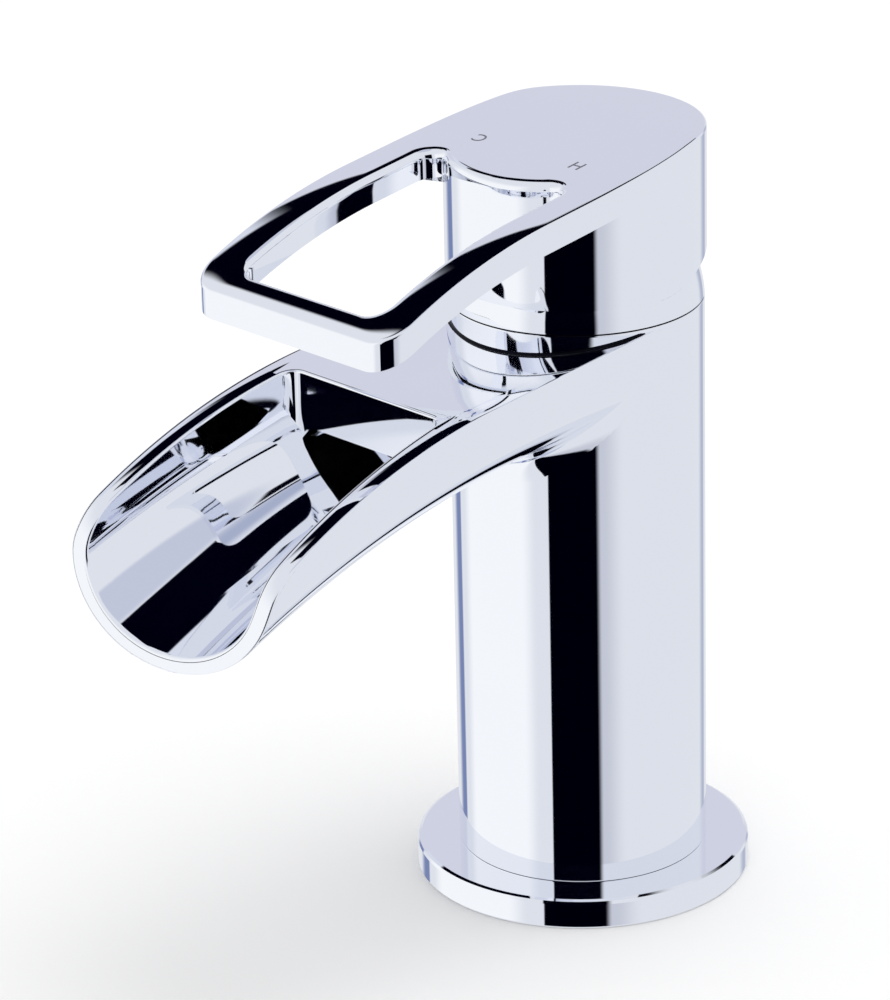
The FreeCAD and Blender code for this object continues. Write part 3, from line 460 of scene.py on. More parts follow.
@dataclass
class SpoutBody:
    """Column and spout in one casting, sizes in millimetres."""

    column_radius: float = 23.0
    column_top: float = 111.4
    column_foot: float = 5.6
    spigot_radius: float = 21.0
    land_radius: float = 19.65
    recess_radius: float = 18.4
    reach: float = 102.56
    edge_step: float = 0.2
    edge_slope: float = math.radians(4.86)
    edge_run: float = 44.0
    edge_bend: float = 125.0
    lip_lean: float = math.radians(15.0)
    lip_radius: float = 14.0
    root_depth: float = 21.9
    under_crown: float = 13.6
    under_bend: float = 225.0
    flare: float = 0.0225
    belly: float = 14.5
    dish: float = 3.9
    dish_run: float = 50.0
    root_fillet: float = 7.0
    trough_start: float = 51.8
    trough_corner: float = 3.0
    root_wall: float = 5.2
    lip_wall: float = 3.8
    floor_wall: float = 2.4
    slot_half: float = 16.5
    slot_top: float = 96.4
    slot_corner: float = 3.0
    slot_back: float = 42.0
    rim_round: float = 0.5
    collar_fillet: float = 0.5
    seam_chamfer: float = 0.3
    rim_crown: float = 0.12
    across: int = 44

    def __post_init__(self) -> None:
        """Work out the side profile's arcs."""
        slope = self.edge_slope
        top = self.column_top - self.edge_step
        start = Vector((self.edge_run, top - self.edge_run * math.tan(slope)))
        self.bend_centre = start - Vector((math.sin(slope), math.cos(slope))) * self.edge_bend
        lip = Vector((self.reach, self.under(self.reach)))
        outward = Vector((math.cos(self.lip_lean), math.sin(self.lip_lean)))
        along = Vector((-math.sin(self.lip_lean), math.cos(self.lip_lean)))
        base = lip - outward * self.lip_radius - self.bend_centre
        spread = self.edge_bend - self.lip_radius
        middle = base.dot(along)
        rise = -middle + math.sqrt(middle * middle - base.length_squared + spread * spread)
        self.lip_centre = self.bend_centre + base + along * rise
        toward = (self.lip_centre - self.bend_centre).normalized()
        self.turn_bend = math.atan2(toward[0], toward[1])
        self.turn_lip = math.pi / 2 - self.lip_lean
        self.length_line = self.edge_run / math.cos(slope)
        self.length_bend = (self.turn_bend - slope) * self.edge_bend
        self.length_lip = (self.turn_lip - self.turn_bend) * self.lip_radius

    def half_width(self, distance: float) -> float:
        """Half of the outside width at a distance from the column's axis."""
        return self.column_radius - 0.15 + self.flare * distance

    def under(self, distance: float) -> float:
        """Level of the underside in the middle."""
        ahead = distance - self.under_crown
        sink = self.under_bend - math.sqrt(self.under_bend ** 2 - ahead ** 2)
        return self.column_top - self.root_depth - sink

    def side(self, length: float, inset: float = 0.0) -> Tuple[float, float, float]:
        """Point of the side profile.

        Args:
            length: Length along the profile from the column's axis.
            inset: Depth below the surface.

        Returns:
            Distance from the axis, height, and how far the profile points down.
        """
        if length < self.length_line:
            turn = self.edge_slope
            point = Vector((length * math.cos(turn),
                            self.column_top - self.edge_step - length * math.sin(turn)))
        elif length < self.length_line + self.length_bend:
            turn = self.edge_slope + (length - self.length_line) / self.edge_bend
            point = self.bend_centre + Vector((math.sin(turn), math.cos(turn))) * self.edge_bend
        else:
            past = length - self.length_line - self.length_bend
            turn = min(self.turn_bend + past / self.lip_radius, self.turn_lip)
            point = self.lip_centre + Vector((math.sin(turn), math.cos(turn))) * self.lip_radius
            rest = max(past - self.length_lip, 0.0)
            point = point + Vector((math.cos(turn), -math.sin(turn))) * rest
        point = point - Vector((math.sin(turn), math.cos(turn))) * inset
        return point[0], point[1], turn

    def length_at(self, test: Callable[[float], float]) -> float:
        """Length along the side profile where a falling test reaches nought."""
        low, high = 0.0, self.length_line + self.length_bend + self.length_lip + 30.0
        for _ in range(60):
            middle = 0.5 * (low + high)
            if test(middle) > 0.0:
                low = middle
            else:
                high = middle
        return low

    def outer_section(self, distance: float) -> Tuple[float, float, float]:
        """Half width, lowest level and depth of the belly outside."""
        return self.half_width(distance), self.under(distance), self.belly

    def inner_section(self, distance: float) -> Tuple[float, float, float]:
        """Half width, lowest level and depth of the floor inside the trough."""
        share = (distance - self.trough_start) / (self.reach - self.trough_start)
        share = min(max(share, 0.0), 1.0)
        wall = self.root_wall + (self.lip_wall - self.root_wall) * math.sqrt(share)
        return (self.half_width(distance) - wall, self.under(distance) + self.floor_wall,
                self.belly - self.floor_wall)

    @staticmethod
    def half_row(section: Tuple[float, float, float], distance: float, top: float,
                 count: int) -> Row:
        """Evenly spaced points from the middle of a section up to a level.

        Args:
            section: Half width, lowest level and depth of the curved part.
            distance: Distance in front of the column's axis.
            top: Level where the row ends.
            count: Number of steps.

        Returns:
            The points on the side of +X.
        """
        width, bottom, depth = section
        reach = min(max((top - bottom) / depth, 0.0), 1.0)
        sweep = math.acos(1.0 - reach)
        steps = 160
        lengths = [0.0]
        for step in range(steps):
            turn = sweep * (step + 0.5) / steps
            piece = math.hypot(width * math.cos(turn), depth * math.sin(turn)) * sweep / steps
            lengths.append(lengths[-1] + piece)
        curved = lengths[-1]
        total = curved + max(top - bottom - depth, 0.0)
        row = []
        place = 0
        for index in range(count + 1):
            wanted = total * index / count
            if wanted >= curved:
                row.append(Vector((width * math.sin(sweep), -distance,
                                   bottom + depth * reach + wanted - curved)))
                continue
            while lengths[place + 1] < wanted:
                place += 1
            part = (wanted - lengths[place]) / max(lengths[place + 1] - lengths[place], 1e-12)
            turn = sweep * (place + part) / steps
            row.append(Vector((width * math.sin(turn), -distance,
                               bottom + depth * (1.0 - math.cos(turn)))))
        return row

    def stations(self, start: float, section: Callable[[float], Tuple[float, float, float]],
                 inset: float) -> List[float]:
        """Lengths along the side profile for the rows of a channel, close at the lip.

        Args:
            start: First length.
            section: Section of the channel at a distance.
            inset: Depth of the profile below the surface.

        Returns:
            The lengths, the last one where the channel's lowest line ends.
        """
        def above(length: float, share: float) -> float:
            """Height of the profile over a share of the channel's curved depth."""
            distance, height, _ = self.side(length, inset)
            _, bottom, depth = section(distance)
            return height - bottom - depth * share

        turn = self.length_at(lambda length: above(length, 1.0))
        end = self.length_at(lambda length: above(length, 0.0))
        straight = [start + (turn - start) * step / 44 for step in range(44)]
        curved = [end - (end - turn) * (1.0 - step / 34) ** 2 for step in range(35)]
        return straight + curved

    def rim_point(self, section: Callable[[float], Tuple[float, float, float]],
                  length: float) -> Vector:
        """Corner of a channel with the rim, as (across, length) on the rim's surface."""
        distance, height, _ = self.side(length)
        width, bottom, depth = section(distance)
        share = min(max((height - bottom) / depth, 0.0), 1.0)
        return Vector((width * math.sin(math.acos(1.0 - share)), length, 0.0))

    def surface(self, across: float, length: float, sink: float = 0.0) -> Vector:
        """Point of the spout's top, with its hollow beside the column."""
        distance, height, _ = self.side(length)
        hollow = self.dish * max(1.0 - distance / self.dish_run, 0.0)
        share = min(abs(across) / self.half_width(distance), 1.0)
        return Vector((across, -distance, height - hollow * (1.0 - share ** 2) - sink))

    def make_shell(self, skin: Skin) -> None:
        """Sides and belly, with the fillet on the column."""
        inset = self.rim_round
        first = 36.0
        start = self.length_at(lambda length: first - self.side(length, inset)[0])
        rows = []
        for length in self.stations(start, self.outer_section, inset):
            distance, height, _ = self.side(length, inset)
            half = self.half_row(self.outer_section(distance), distance, height, self.across)
            rows.append(half)
        root = self.root_rows(first, inset)
        for side in (1, -1):
            skin.sweep(root + rows, side)

    def root_rows(self, first: float, inset: float) -> List[Row]:
        """Rows from the column's surface to the first plain row of the shell.

        Args:
            first: Distance of the first plain row.
            inset: Depth of the side profile below the surface.

        Returns:
            The rows.
        """
        steps = 9
        between = 12
        count = steps + between
        rows: List[Row] = [[] for _ in range(count)]
        samples = [0.5 + 35.5 * step / 40 for step in range(41)]
        table = []
        for distance in samples:
            length = self.length_at(lambda test, d=distance: d - self.side(test, inset)[0])
            height = self.side(length, inset)[1]
            table.append(self.half_row(self.outer_section(distance), distance, height,
                                       self.across))

        def look_up(distance: float, index: int) -> Vector:
            """Point of the shell between two of the table's rows."""
            place = (distance - 0.5) / 35.5 * 40
            low = min(int(place), 39)
            return table[low][index].lerp(table[low + 1][index], place - low)

        radius = self.root_fillet
        for index in range(self.across + 1):
            low, high = 0.6, 35.0
            for _ in range(40):
                middle = 0.5 * (low + high)
                centre = self.ball_centre(look_up, middle, index)
                if math.hypot(centre[0], centre[1]) < self.column_radius + radius:
                    low = middle
                else:
                    high = middle
            contact = look_up(low, index)
            centre = self.ball_centre(look_up, low, index)
            to_spout = (contact - centre).normalized()
            to_column = Vector((-centre[0], -centre[1], 0.0)).normalized()
            opening = to_spout.angle(to_column, 0.0)
            for step in range(steps):
                share = step / steps
                if opening < 0.001:
                    aim = to_spout
                else:
                    aim = (to_column * math.sin((1.0 - share) * opening)
                           + to_spout * math.sin(share * opening)) / math.sin(opening)
                rows[step].append(centre + aim * (radius + (0.01 if step == 0 else 0.0)))
            for step in range(between):
                share = step / between
                rows[steps + step].append(look_up(low + (first - low) * share, index))
        return rows

    def ball_centre(self, look_up: Callable[[float, int], Vector], distance: float,
                    index: int) -> Vector:
        """Centre of the fillet's ball that touches the shell at one of its points."""
        here = look_up(distance, index)
        ahead = look_up(distance + 0.5, index) - look_up(distance - 0.1, index)
        inner = max(index - 1, 0)
        outer = min(index + 1, self.across)
        side = look_up(distance, outer) - look_up(distance, inner)
        if index == 0:
            side = Vector((1.0, 0.0, 0.0))
        normal = side.cross(ahead).normalized()
        if normal[0] < 0.0 or (index == 0 and normal[2] > 0.0):
            normal = -normal
        return here + normal * self.root_fillet

    def make_top(self, skin: Skin) -> None:
        """Hollow top between the column and the trough, the rims and the lip."""
        inset = self.rim_round
        corner = self.trough_corner
        split = self.length_at(
            lambda length: self.trough_start + corner - self.side(length)[0])
        outer = [self.rim_point(self.outer_section, length)
                 for length in self.stations(split, self.outer_section, 0.0)]
        inner = [self.rim_point(self.inner_section, length)
                 for length in self.stations(split, self.inner_section, 0.0)]
        outer[-1][0] = 0.0
        inner[-1][0] = 0.0
        root = [Vector((self.half_width(self.side(split * step / 40)[0]),
                        split * step / 40, 0.0)) for step in range(41)]
        outside = root[:-1] + outer
        outside_rim = offset_chain(outside, inset)
        outside_rim[-1] = Vector((0.0, outside[-1][1] - inset, 0.0))
        width = inner[0][0]
        rear = []
        for step in range(17):
            turn = math.pi / 2 * step / 16
            rear.append(Vector((width - corner + corner * math.sin(turn),
                                split - corner * math.cos(turn) * 1.004, 0.0)))
        middle = [Vector(((width - corner) * step / 14, rear[0][1], 0.0))
                  for step in range(14)]
        inside = middle + rear[:-1] + inner
        inside_rim = offset_chain(inside, -inset)
        inside_rim[0] = Vector((0.0, inside[0][1] - inset, 0.0))
        inside_rim[-1] = Vector((0.0, inside[-1][1] + inset, 0.0))
        behind = len(middle) + 16
        for side in (1, -1):
            self.round_edge(skin, side, outside, outside_rim, self.outer_section)
            self.round_edge(skin, side, inside[behind:], inside_rim[behind:],
                            self.inner_section)
            self.round_rear(skin, side, inside[:behind + 1], inside_rim[:behind + 1])
            self.lay_rim(skin, side, outside_rim[40:], inside_rim[behind:])
            self.lay_dish(skin, side, outside_rim[:41], inside_rim[:behind + 1])

    def round_edge(self, skin: Skin, side: int, edge: Sequence[Vector],
                   rim: Sequence[Vector],
                   section: Callable[[float], Tuple[float, float, float]]) -> None:
        """Round between a channel's wall and the rim."""
        rows = []
        for corner, level in zip(edge, rim):
            distance, height, _ = self.side(corner[1], self.rim_round)
            width, bottom, depth = section(distance)
            share = min(max((height - bottom) / depth, 0.0), 1.0)
            wall = Vector((width * math.sin(math.acos(1.0 - share)), -distance,
                           max(height, bottom)))
            sharp = self.surface(corner[0], corner[1])
            flat = self.surface(level[0], level[1])
            rows.append(blend_corner(wall, sharp, flat, 5))
        skin.sweep(rows, side)

    def round_rear(self, skin: Skin, side: int, edge: Sequence[Vector],
                   rim: Sequence[Vector]) -> None:
        """Round and upright wall behind the trough, with the slot under it."""
        rows = []
        for corner, level in zip(edge, rim):
            sharp = self.surface(corner[0], corner[1])
            flat = self.surface(level[0], level[1])
            wall = sharp - Vector((0.0, 0.0, self.rim_round))
            width, bottom, depth = self.inner_section(-sharp[1])
            share = min(sharp[0] / width, 1.0)
            low = bottom + depth * (1.0 - math.sqrt(1.0 - share ** 2)) - 0.3
            past = max(corner[0] - self.slot_half + self.slot_corner, 0.0)
            if past < self.slot_corner:
                arch = self.slot_corner - math.sqrt(self.slot_corner ** 2 - past ** 2)
                low = max(low, self.slot_top - arch)
            foot = Vector((sharp[0], sharp[1], low))
            back = Vector((sharp[0], -self.slot_back, low))
            row = blend_corner(flat, sharp, wall, 5)
            row += [wall.lerp(foot, step / 6) for step in range(1, 7)]
            row += [foot.lerp(back, step / 4) for step in range(1, 5)]
            rows.append(row)
        skin.sweep(rows, side)

    def lay_rim(self, skin: Skin, side: int, outer: Sequence[Vector],
                inner: Sequence[Vector]) -> None:
        """Rim beside the trough, slightly crowned, down to the lip."""
        rows = []
        steps = 6
        for outside, inside in zip(outer, inner):
            row = []
            for step in range(steps + 1):
                share = step / steps
                place = outside.lerp(inside, share)
                crown = self.rim_crown * (2.0 * share - 1.0) ** 2
                row.append(self.surface(place[0], place[1], crown))
            rows.append(row)
        skin.sweep(rows, side)

    def lay_dish(self, skin: Skin, side: int, outer: Sequence[Vector],
                 rear: Sequence[Vector]) -> None:
        """Top between the column and the rear of the trough."""
        rows = []
        count = len(outer) - 1
        for index, outside in enumerate(outer):
            share = index / count
            bend = max(share - 0.55, 0.0) / 0.45
            row = []
            for place in rear:
                across = place[0] * outside[0] / outer[-1][0]
                across = across + (place[0] - across) * bend
                length = outside[1] + (place[1] - rear[-1][1]) * bend
                row.append(self.surface(across, length))
            for step in range(1, 7):
                part = step / 6
                across = row[len(rear) - 1][0]
                wide = across + (outside[0] - across) * part
                crown = self.rim_crown * bend * (1.0 - (2.0 * part - 1.0) ** 2)
                row.append(self.surface(wide, outside[1], self.rim_crown * bend - crown))
            rows.append(row)
        skin.sweep(rows, side)

    def make_collar(self, skin: Skin) -> None:
        """Small fillet where the hollow top meets the column, coloured near-black as painted
        shade.
        """
        radius = self.column_radius
        # Faces swept from here take slot 1, the painted seam shade.
        skin.shade = 1
        rows = []
        for step in range(65):
            turn = math.radians(14.0 + 76.0 * step / 64)
            out = (self.half_width(radius * math.sin(turn)) - self.rim_round)
            size = min(self.collar_fillet, out / math.cos(turn) - radius
                       if step < 64 else self.collar_fillet)
            size = max(size, 0.02)
            wall = self.top_at(radius * math.cos(turn), radius * math.sin(turn))
            edge = radius + size
            foot = self.top_at(edge * math.cos(turn), edge * math.sin(turn))
            lift = Vector((0.0, 0.0, size))
            rows.append(blend_corner(wall + lift, wall, foot, 20))
        for side in (1, -1):
            skin.sweep(rows, side)
        skin.shade = 0

    def top_at(self, across: float, distance: float) -> Vector:
        """Point of the spout's top at a distance in front of the column's axis."""
        length = self.length_at(lambda test: distance - self.side(test)[0])
        return self.surface(across, length)

    def make_trough(self, skin: Skin) -> None:
        """Floor and walls of the trough, and the water slot behind it."""
        inset = self.rim_round
        start = self.length_at(
            lambda length: self.trough_start + self.trough_corner
            - self.side(length, inset)[0])
        rows = []
        for step in range(8):
            share = step / 8
            distance = self.slot_back + (self.trough_start + self.trough_corner
                                         - self.slot_back) * share
            height = self.side(start, inset)[1] - 1.2 + 1.2 * share
            rows.append(self.half_row(self.inner_section(distance), distance, height,
                                      self.across))
        for length in self.stations(start, self.inner_section, inset):
            distance, height, _ = self.side(length, inset)
            rows.append(self.half_row(self.inner_section(distance), distance, height,
                                      self.across))
        for side in (1, -1):
            skin.sweep(rows, side)
        closing = self.half_row(self.inner_section(self.slot_back), self.slot_back,
                                self.slot_top, self.across)
        for side in (1, -1):
            skin.sweep([[point, Vector((point[0], point[1], self.slot_top))]
                        for point in closing], side)

    def make_column(self, skin: Skin) -> None:
        """Column with its foot, and the bores kept from the CAD solid."""
        radius = self.column_radius
        skin.spin([
            (self.recess_radius, 0.0),
            (self.spigot_radius, 0.0),
            (self.spigot_radius, self.column_foot),
            (radius - 0.25, self.column_foot),
            (radius - 0.07, self.column_foot + 0.07),
            (radius, self.column_foot + 0.25),
            (radius, self.column_top * 0.35),
            (radius, self.column_top * 0.7),
            (radius, self.column_top - self.seam_chamfer),
            (radius - 0.3 * self.seam_chamfer, self.column_top - 0.3 * self.seam_chamfer),
            (radius - self.seam_chamfer, self.column_top),
            (self.land_radius, self.column_top),
        ], steps=256)
        inside = self.land_radius + 0.05
        skin.take("body_casting", lambda face: all(
            math.hypot(vert.co[0], vert.co[1]) < inside for vert in face.verts))

    def build(self, dresser: Dresser) -> None:
        """Build the casting."""
        skin = Skin()
        self.make_top(skin)
        within = self.column_radius - 0.4
        skin.drop(lambda face: all(
            math.hypot(vert.co[0], vert.co[1]) < within for vert in face.verts))
        self.make_column(skin)
        self.make_shell(skin)
        self.make_trough(skin)
        self.make_collar(skin)
        made = skin.finish("spout_body", Body.SHELL, "chrome", dresser.material(CHROME))
        # Slot 1 is painted shade: the top land in the seam under the dome and the collar's
        # fillet are painted near-black where they lie in shade.
        made.data.materials.append(dresser.material(PAINTED_SEAM_SHADE))
        level = (self.column_top - 0.5 * self.seam_chamfer) * MM
        for face in made.data.polygons:
            middle = face.center
            span = math.hypot(middle[0], middle[1])
            if middle[2] > level and span > (self.land_radius + 0.02) * MM:
                face.material_index = 1
        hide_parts("body_casting")


@dataclass
class LoopLever:
    """Handle casting with its hub and finger loop, sizes in millimetres."""

    crown_level: float = 143.15
    knee_start: float = 12.0
    knee_bend: float = 60.0
    slope: float = math.radians(7.4)
    run: float = 36.5
    tip_bend: float = 110.0
    thickness: float = 5.3
    hub: float = 23.4
    hub_leave: float = math.radians(15.0)
    half_width: float = 25.1
    reach: float = 70.0
    corner: float = 6.0
    opening_half: float = 17.2
    front_bar: float = 5.3
    front_corner: float = 3.5
    hub_corner: float = 3.0
    inner_round: float = 1.6
    outer_round: float = 0.45
    rail_crown: float = 0.085
    under_level: float = 116.1
    relief: float = math.radians(17.0)
    relief_bend: float = 20.0
    plug_level: float = 130.5
    plug_radius: float = 3.45
    plug_proud: float = 0.08

    def top(self, y: float) -> float:
        """Height of the top surface."""
        knee_end = self.knee_start - self.knee_bend * math.sin(self.slope)
        if y >= self.knee_start:
            return self.crown_level
        if y >= knee_end:
            ahead = self.knee_start - y
            return self.crown_level - self.knee_bend + math.sqrt(
                self.knee_bend ** 2 - ahead ** 2)
        level = self.crown_level - self.knee_bend * (1.0 - math.cos(self.slope))
        tip_start = knee_end - self.run * math.cos(self.slope)
        if y >= tip_start:
            return level - (knee_end - y) * math.tan(self.slope)
        level -= self.run * math.sin(self.slope)
        centre = tip_start + self.tip_bend * math.sin(self.slope)
        return level - self.tip_bend * math.cos(self.slope) + math.sqrt(
            self.tip_bend ** 2 - (centre - y) ** 2)

    def underside(self, y: float) -> float:
        """Height of the hub's underside."""
        reach = self.relief_bend * math.tan(0.5 * self.relief)
        if y <= -reach:
            return self.under_level
        if y >= reach * math.cos(self.relief):
            return self.under_level + y * math.tan(self.relief)
        return self.under_level + self.relief_bend - math.sqrt(
            self.relief_bend ** 2 - (y + reach) ** 2)

    @staticmethod
    def arc(centre: Tuple[float, float], radius: float, first: float, last: float,
            steps: int) -> List[Vector]:
        """Points on a plan arc, without the last one."""
        return [Vector((centre[0] + radius * math.cos(first + (last - first) * step / steps),
                        centre[1] + radius * math.sin(first + (last - first) * step / steps),
                        0.0)) for step in range(steps)]

    @staticmethod
    def line(start: Vector, end: Vector, steps: int) -> List[Vector]:
        """Points on a plan line, without the last one."""
        return [start.lerp(end, step / steps) for step in range(steps)]

    def outline(self, inset: float) -> List[Vector]:
        """Half of the plan outline from the front to the rear.

        Args:
            inset: How far inside the edge it runs.

        Returns:
            The points, from x = 0 in front to x = 0 behind.
        """
        side = self.half_width - inset
        start = Vector((0.0, inset - self.reach, 0.0))
        turn = Vector((self.half_width - self.corner, inset - self.reach, 0.0))
        points = self.line(start, turn, 14)
        points += self.arc((self.half_width - self.corner, self.corner - self.reach),
                           self.corner - inset, -0.5 * math.pi, 0.0, 14)
        points += self.line(Vector((side, self.corner - self.reach, 0.0)),
                            Vector((side, -self.hub, 0.0)), 30)
        lead = 0.35 * self.hub
        rim = Vector((math.cos(self.hub_leave), math.sin(self.hub_leave), 0.0))
        poles = [Vector((self.half_width, -self.hub, 0.0)),
                 Vector((self.half_width, 1.2 * lead - self.hub, 0.0)),
                 rim * self.hub + Vector((rim[1], -rim[0], 0.0)) * lead,
                 rim * self.hub]
        for step in range(20):
            share = step / 20
            rest = 1.0 - share
            point = (poles[0] * rest ** 3 + poles[1] * 3 * rest * rest * share
                     + poles[2] * 3 * rest * share * share + poles[3] * share ** 3)
            ahead = ((poles[1] - poles[0]) * rest * rest
                     + (poles[2] - poles[1]) * 2 * rest * share
                     + (poles[3] - poles[2]) * share * share).normalized()
            points.append(point + Vector((-ahead[1], ahead[0], 0.0)) * inset)
        points += self.arc((0.0, 0.0), self.hub - inset, self.hub_leave, 0.5 * math.pi, 44)
        points.append(Vector((0.0, self.hub - inset, 0.0)))
        return points

    def opening(self, grow: float) -> List[Vector]:
        """Half of the loop's opening, point for point with the outline.

        Args:
            grow: How far outside the opening it runs, in the metal.

        Returns:
            The points, from x = 0 in front to x = 0 at the hub.
        """
        front = self.front_bar - self.reach
        half = self.opening_half
        corner = self.front_corner
        span = self.hub + self.hub_corner
        centre_x = half - self.hub_corner
        centre_y = -math.sqrt(span ** 2 - centre_x ** 2)
        touch = math.atan2(-centre_y, -centre_x)
        points = self.line(Vector((0.0, front - grow, 0.0)),
                           Vector((half - corner, front - grow, 0.0)), 14)
        points += self.arc((half - corner, front + corner), corner + grow,
                           -0.5 * math.pi, 0.0, 14)
        points += self.line(Vector((half + grow, front + corner, 0.0)),
                            Vector((half + grow, centre_y, 0.0)), 30)
        points += self.arc((centre_x, centre_y), self.hub_corner + grow, 0.0, touch, 20)
        points += self.arc((0.0, 0.0), self.hub - grow, touch - math.pi, -0.5 * math.pi, 44)
        points.append(Vector((0.0, grow - self.hub, 0.0)))
        return points

    def fade(self, place: int) -> float:
        """How much of the rails' crown there is at a station of the outline."""
        share = min(max((place - RAIL_END) / CROWN_FADE, 0.0), 1.0)
        return 1.0 - share * share * (3.0 - 2.0 * share)

    def lift(self, plan: Vector, sink: float = 0.0) -> Vector:
        """Plan point on the top surface, or below it."""
        return Vector((plan[0], plan[1], self.top(plan[1]) - sink))

    def make_top(self, skin: Skin) -> None:
        """Top sheet with the rounds on both of its edges."""
        outline = self.outline(0.0)
        rim = self.outline(self.outer_round)
        opening = self.opening(0.0)
        brow = self.opening(self.inner_round)
        across = 26
        rows = []
        for place in range(len(outline)):
            crown = self.rail_crown * self.fade(place)
            row = blend_corner(
                self.lift(outline[place], self.outer_round + crown),
                self.lift(outline[place], crown), self.lift(rim[place], crown), 5)
            for step in range(1, across):
                share = step / across
                plan = rim[place].lerp(brow[place], share)
                row.append(self.lift(plan, crown * (2.0 * share - 1.0) ** 2))
            row += blend_corner(
                self.lift(brow[place], crown), self.lift(opening[place], crown),
                self.lift(opening[place], self.inner_round + crown), 9)
            rows.append(row)
        for side in (1, -1):
            skin.sweep(rows, side)

    def make_walls(self, skin: Skin) -> None:
        """Outer and inner walls, the band's underside and the hub's wall."""
        outline = self.outline(0.0)
        opening = self.opening(0.0)
        for side in (1, -1):
            rows = []
            for place, plan in enumerate(outline):
                high = self.lift(plan, self.outer_round + self.rail_crown * self.fade(place))
                low = self.lift(plan, self.thickness)
                row = [high.lerp(low, step / 4) for step in range(5)]
                rows.append(row)
            skin.sweep(rows, side)
            rows = []
            for plan in outline[HUB_START:]:
                low = self.lift(plan, self.thickness)
                foot = Vector((plan[0], plan[1], self.underside(plan[1])))
                rows.append([low.lerp(foot, step / 12) for step in range(13)])
            skin.sweep(rows, side)
            rows = []
            for place, plan in enumerate(opening[:HUB_START + 1]):
                high = self.lift(plan, self.inner_round + self.rail_crown * self.fade(place))
                low = self.lift(plan, self.thickness)
                rows.append([high.lerp(low, step / 3) for step in range(4)])
            skin.sweep(rows, side)
            rows = []
            for place in range(HUB_START, len(opening)):
                plan = opening[place]
                high = self.lift(plan, self.inner_round + self.rail_crown * self.fade(place))
                low = self.lift(plan, self.thickness)
                foot = Vector((plan[0], plan[1], self.underside(plan[1])))
                row = [high.lerp(low, step / 3) for step in range(3)]
                rows.append(row + [low.lerp(foot, step / 12) for step in range(13)])
            skin.sweep(rows, side)
            self.lay_band(skin, side, outline, opening)

    def lay_band(self, skin: Skin, side: int, outline: Sequence[Vector],
                 opening: Sequence[Vector]) -> None:
        """Underside of the loop, and the hub's wall under the flanks."""
        rows = [[self.lift(outline[place].lerp(opening[place], step / 4), self.thickness)
                 for step in range(5)] for place in range(RAIL_END + 1)]
        rows += [[self.lift(outline[RAIL_END].lerp(opening[place], step / 4),
                            self.thickness)
                  for step in range(5)] for place in range(RAIL_END + 1, HUB_START + 1)]
        first = math.atan2(opening[HUB_START][1], opening[HUB_START][0])
        hub = self.arc((0.0, 0.0), self.hub, first, self.hub_leave, 20)
        hub.append(outline[HUB_START])
        rows += [[self.lift(outline[RAIL_END + place].lerp(hub[place], step / 4),
                            self.thickness)
                  for step in range(5)] for place in range(1, 21)]
        skin.sweep(rows, side)
        rows = []
        for plan in hub:
            high = self.lift(plan, self.thickness)
            foot = Vector((plan[0], plan[1], self.underside(plan[1])))
            rows.append([high.lerp(foot, step / 12) for step in range(13)])
        skin.sweep(rows, side)

    def make_inside(self, skin: Skin) -> None:
        """Underside, ball cavity and stem socket, kept from the CAD solid."""
        edge = self.hub + 0.01

        def is_inside(face: bmesh.types.BMFace) -> bool:
            """Tell whether a face belongs to the inside of the hub."""
            spans = [math.hypot(vert.co[0], vert.co[1]) for vert in face.verts]
            if max(spans) > edge or min(spans) > self.hub - 0.05:
                return False
            return all(vert.co[2] < self.top(vert.co[1]) - 2.5 for vert in face.verts)

        skin.take("lever_handle", is_inside)

    def make_marks(self, dresser: Dresser) -> None:
        """Cold and hot letters in the hub's top, read from behind the faucet."""
        for letter, across in (("C", -12.0), ("H", 12.0)):
            curve = bpy.data.curves.new("mark_" + letter, "FONT")
            curve.body = letter
            curve.size = 3.9
            curve.align_x = "CENTER"
            curve.align_y = "CENTER"
            curve.extrude = 0.01
            curve.resolution_u = 8
            text = bpy.data.objects.new("mark_curve", curve)
            data = bpy.data.meshes.new_from_object(text)
            bpy.data.objects.remove(text)
            mesh = bmesh.new()
            mesh.from_mesh(data)
            bpy.data.meshes.remove(data)
            along = -11.4
            lean = math.atan2(self.top(along + 0.5) - self.top(along - 0.5), 1.0)
            place = (Matrix.Translation((across, along, self.top(along) + 0.012))
                     @ Matrix.Rotation(lean, 4, "X") @ Matrix.Rotation(math.pi, 4, "Z"))
            bmesh.ops.transform(mesh, matrix=place, verts=mesh.verts)
            bmesh.ops.scale(mesh, vec=Vector((MM, MM, MM)), verts=mesh.verts)
            mark = to_object(mesh, "mark_cold" if letter == "C" else "mark_hot")
            mark.data.materials.append(dresser.material(INK))
            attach(mark, Body.LEVER.value)
            LOG.info("%s is a letter in the hub's top", mark.name)

